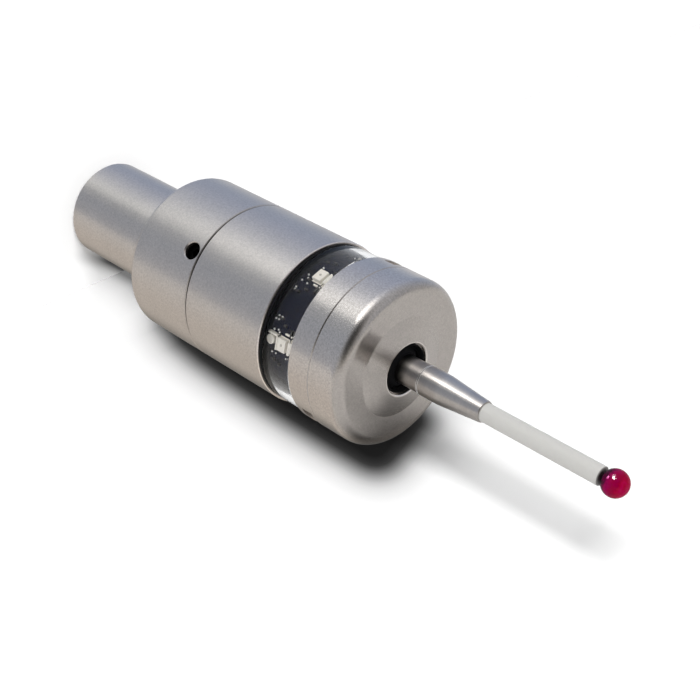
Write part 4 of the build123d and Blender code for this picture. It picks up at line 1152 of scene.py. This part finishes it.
# %% Rings of the dome
LOW_STOPS = (
    (-180, (0.78, 0.77, 0.75)),
    (-150, (0.76, 0.77, 0.80)),
    (-135, (0.56, 0.63, 0.76)),
    (-118, (0.45, 0.54, 0.73)),
    (-95, (0.56, 0.64, 0.84)),
    (-70, (0.70, 0.77, 0.92)),
    (-50, (0.74, 0.80, 0.90)),
    (-38, (0.84, 0.90, 0.95)),
    (-20, (0.84, 0.89, 0.93)),
    (-15, (0.56, 0.60, 0.66)),
    (10, (0.50, 0.55, 0.64)),
    (46, (0.58, 0.61, 0.68)),
    (51, (0.92, 0.92, 0.92)),
    (90, (0.84, 0.79, 0.74)),
    (128, (0.76, 0.71, 0.65)),
    (143, (0.38, 0.355, 0.32)),
    (158, (0.18, 0.18, 0.18)),
    (172, (0.16, 0.16, 0.16)),
)
HIGH_STOPS = (
    (-180, (0.74, 0.69, 0.65)),
    (-167, (0.62, 0.59, 0.56)),
    (-150, (0.50, 0.50, 0.50)),
    (-112, (0.46, 0.48, 0.53)),
    (-69, (0.60, 0.62, 0.66)),
    (-38, (0.50, 0.50, 0.52)),
    (-15, (0.34, 0.34, 0.35)),
    (15, (0.32, 0.32, 0.32)),
    (38, (0.54, 0.53, 0.51)),
    (69, (0.82, 0.80, 0.76)),
    (112, (0.76, 0.72, 0.66)),
    (143, (0.42, 0.39, 0.36)),
    (158, (0.36, 0.34, 0.31)),
    (170, (0.54, 0.51, 0.48)),
    (179, (0.72, 0.67, 0.63)),
)
RINGS_MEET = (-15, 28)


def dome_share(degrees, turn):
    """Where degrees around (of 360) or up (of 180) lie on the dome, from 0 to 1."""
    return degrees / turn + 0.5


def dome_ramp(tree, value, stops, turn=360):
    return ramp(tree, value, [(dome_share(degrees, turn), color) for degrees, color in stops])


def rings_of_grey(tree, around, height):
    upper = between(tree, height, 0.0, 1.0, *(dome_share(degrees, 180) for degrees in RINGS_MEET))
    return mixed(tree, upper, dome_ramp(tree, around, LOW_STOPS), dome_ramp(tree, around, HIGH_STOPS))


# %% Lights of the dome
SOFTBOX_AROUND = ((-75, 0.0), (-60, 0.12), (-48, 0.6), (-37, 1.0), (-26, 0.95), (-19, 0.0))
SOFTBOX_HEIGHT = ((-48, 0.0), (-42, 0.03), (-37, 0.15), (-30, 0.55), (-14, 1.0), (4, 0.6), (18, 0.0))
SOFTBOX_LIGHT = 2.6
BULB_PLACE = (-24.0, -12.0)
BULB_SPAN = (5.0, 2.5)
BULB_LIGHT = 9.0
CAMERA_PATCH = (35.0, 12.0)
CAMERA_PATCH_LIGHT = 0.12
DOME_LIGHT = 0.86
WHITE = (1.0, 1.0, 1.0)


def aimed(around_turn, tilt):
    """The direction at a turn about the axis and a tilt above the floor, in degrees."""
    around_turn, tilt = radians(around_turn), radians(tilt)
    return Vector((cos(around_turn) * cos(tilt), sin(around_turn) * cos(tilt), sin(tilt)))


def softbox_light(tree, around, height):
    """The softbox as one ramp around the dome times one up it."""
    sides = dome_ramp(tree, around, greys(SOFTBOX_AROUND))
    ends = dome_ramp(tree, height, greys(SOFTBOX_HEIGHT), 180)
    return mixed(tree, 1.0, sides, ends, "MULTIPLY")


def round_patch(tree, direction, target, edges, outside, inside):
    """A value that changes from outside to inside a round patch, whose two edges are in degrees."""
    outer, inner = (cos(radians(degrees)) for degrees in edges)
    return between(tree, reach_along(tree, direction, target), outside, inside, outer, inner)


def background(tree, color, strength):
    node = add_node(tree, "Background")
    join(tree, color, node.inputs["Color"])
    join(tree, strength, node.inputs["Strength"])
    return node.outputs[0]


def mirrored_studio(tree):
    direction = add_node(tree, "TexCoord").outputs["Generated"]
    x, y, z = split(tree, direction)
    around = between(tree, math(tree, "ARCTAN2", y, x), 0.0, 1.0, -pi, pi)
    height = between(tree, math(tree, "ARCSINE", z), 0.0, 1.0, -pi / 2, pi / 2)
    to_camera = -CAMERA_FORWARD.normalized()
    patch = round_patch(tree, direction, to_camera, CAMERA_PATCH, 1.0, CAMERA_PATCH_LIGHT)
    bulb = round_patch(tree, direction, aimed(*BULB_PLACE), BULB_SPAN, 0.0, BULB_LIGHT)
    rings = background(tree, rings_of_grey(tree, around, height), patch)
    softbox = background(tree, softbox_light(tree, around, height), SOFTBOX_LIGHT)
    return shaders_added(tree, rings, shaders_added(tree, softbox, background(tree, WHITE, bulb)))


# %% World
world = bpy.data.worlds.new("studio")
bpy.context.scene.world = world
world.use_nodes = True
world_tree = world.node_tree
world_tree.nodes.clear()
path = add_node(world_tree, "LightPath").outputs
straight = math(world_tree, "MAXIMUM", path["Is Camera Ray"], path["Is Transmission Ray"])
bounced = math(world_tree, "SUBTRACT", path["Is Glossy Ray"], path["Is Transmission Ray"])
even_light = background(world_tree, WHITE, DOME_LIGHT)
plain_white = background(world_tree, WHITE, 1.0)
unmirrored = shaders_mixed(world_tree, straight, even_light, plain_white)
sky = shaders_mixed(world_tree, bounced, unmirrored, mirrored_studio(world_tree))
join(world_tree, sky, add_node(world_tree, "OutputWorld").inputs["Surface"])
bpy.context.scene.view_settings.view_transform = "Standard"
print("the dome has", len(LOW_STOPS) + len(HIGH_STOPS), "stops around")

# %% [markdown]
# ## Lamps
# One large soft lamp hangs over the table of the photograph, a little towards the stylus. It is made
# three times, with a share for each use. The floor's lamp casts the probe's shadow. The table's lamp
# is blocked only by the stylus, since the body's shade is already in the table's finish. The weak
# third one lights everything and gives the white pieces their form.

# %% Soft lamps
LAMP_DIRECTION = (-TABLE_DIRECTION * 20.0 + ACROSS * 4.0 + Vector((0, 0, 5.0))).normalized()
LAMP_DISTANCE = 2.4
LAMP_SIZE = 1.25
LAMP_ENERGY = (pi * LAMP_DISTANCE) ** 2
TABLE_LIGHT = 3.2
FLOOR_LIGHT = 2.4
FORM_LIGHT = 0.13


def lamp(name, target, direction, distance, size, energy, lit=(), shading=()):
    """A square lamp that looks at a target, and can light and be blocked by some objects only."""
    data = bpy.data.lights.new(name, "AREA")
    data.shape = "SQUARE"
    data.size = size
    data.energy = energy
    light = bpy.data.objects.new(name, data)
    bpy.context.scene.collection.objects.link(light)
    turn = direction.to_track_quat("Z", "Y").to_matrix().to_4x4()
    light.matrix_world = Matrix.Translation(target + direction * distance) @ turn
    light.visible_camera = False
    light.visible_glossy = False
    for kind, objects in (("receiver", lit), ("blocker", shading)):
        if objects:
            group = bpy.data.collections.new("%s_%s" % (name, kind))
            for obj in objects:
                group.objects.link(obj)
            setattr(light.light_linking, kind + "_collection", group)
    print(name, "gives", round(energy, 3), "W")
    return light


def pieces(*names):
    return [bpy.data.objects[name] for name in names]


def soft_lamp(name, share, lit=(), shading=()):
    lamp(name, middle, LAMP_DIRECTION, LAMP_DISTANCE, LAMP_SIZE, share * LAMP_ENERGY, lit, shading)


soft_lamp("floor_lamp", FLOOR_LIGHT, [floor])
soft_lamp("table_lamp", TABLE_LIGHT, [table], pieces("stylus_ball", "stylus_stem", "stylus_base"))
soft_lamp("form_lamp", FORM_LIGHT)

# %% [markdown]
# ## Glints
# Three small lamps close to the polished ball are seen only as glints on it, the last of them in the
# red that the crystal throws back. One more gives the highlight on the steel of the stylus. A glint
# has the turn and tilt it comes from, a size, a brightness and a colour.

# %% Glints
GLINT_DISTANCE = 0.15
BALL_GLINTS = (
    (-29.0, -6.4, 0.058, 230.0, (1.0, 1.0, 1.0)),
    (-44.0, -16.0, 0.055, 45.0, (0.85, 0.92, 1.0)),
    (-19.8, -48.4, 0.034, 150.0, (1.0, 0.25, 0.6)),
)
HOLDER_GLINT = (-33.0, -34.0, 0.050, 4.0, (1.0, 0.98, 0.94))
BALL_CENTER = Vector((0, 0, (BALL_LOW + BALL_HIGH) / 2))
HOLDER_CENTER = Vector((0, 0, (SEAT_HEIGHT + 2) * MM))


def glint_lamp(name, target, around_turn, tilt, size, radiance, color, lit):
    """A small lamp that shows only as a reflection in some objects."""
    energy = radiance * pi * size ** 2
    glint = lamp(name, target, aimed(around_turn, tilt), GLINT_DISTANCE, size, energy, lit, lit)
    glint.data.color = color
    glint.visible_glossy = True
    glint.visible_diffuse = False
    glint.visible_transmission = False


for number, glint in enumerate(BALL_GLINTS):
    glint_lamp("glint_%d" % number, BALL_CENTER, *glint, pieces("stylus_ball"))
glint_lamp("holder_glint", HOLDER_CENTER, *HOLDER_GLINT, pieces("stylus_holder", "stylus_base", "seat_rim"))
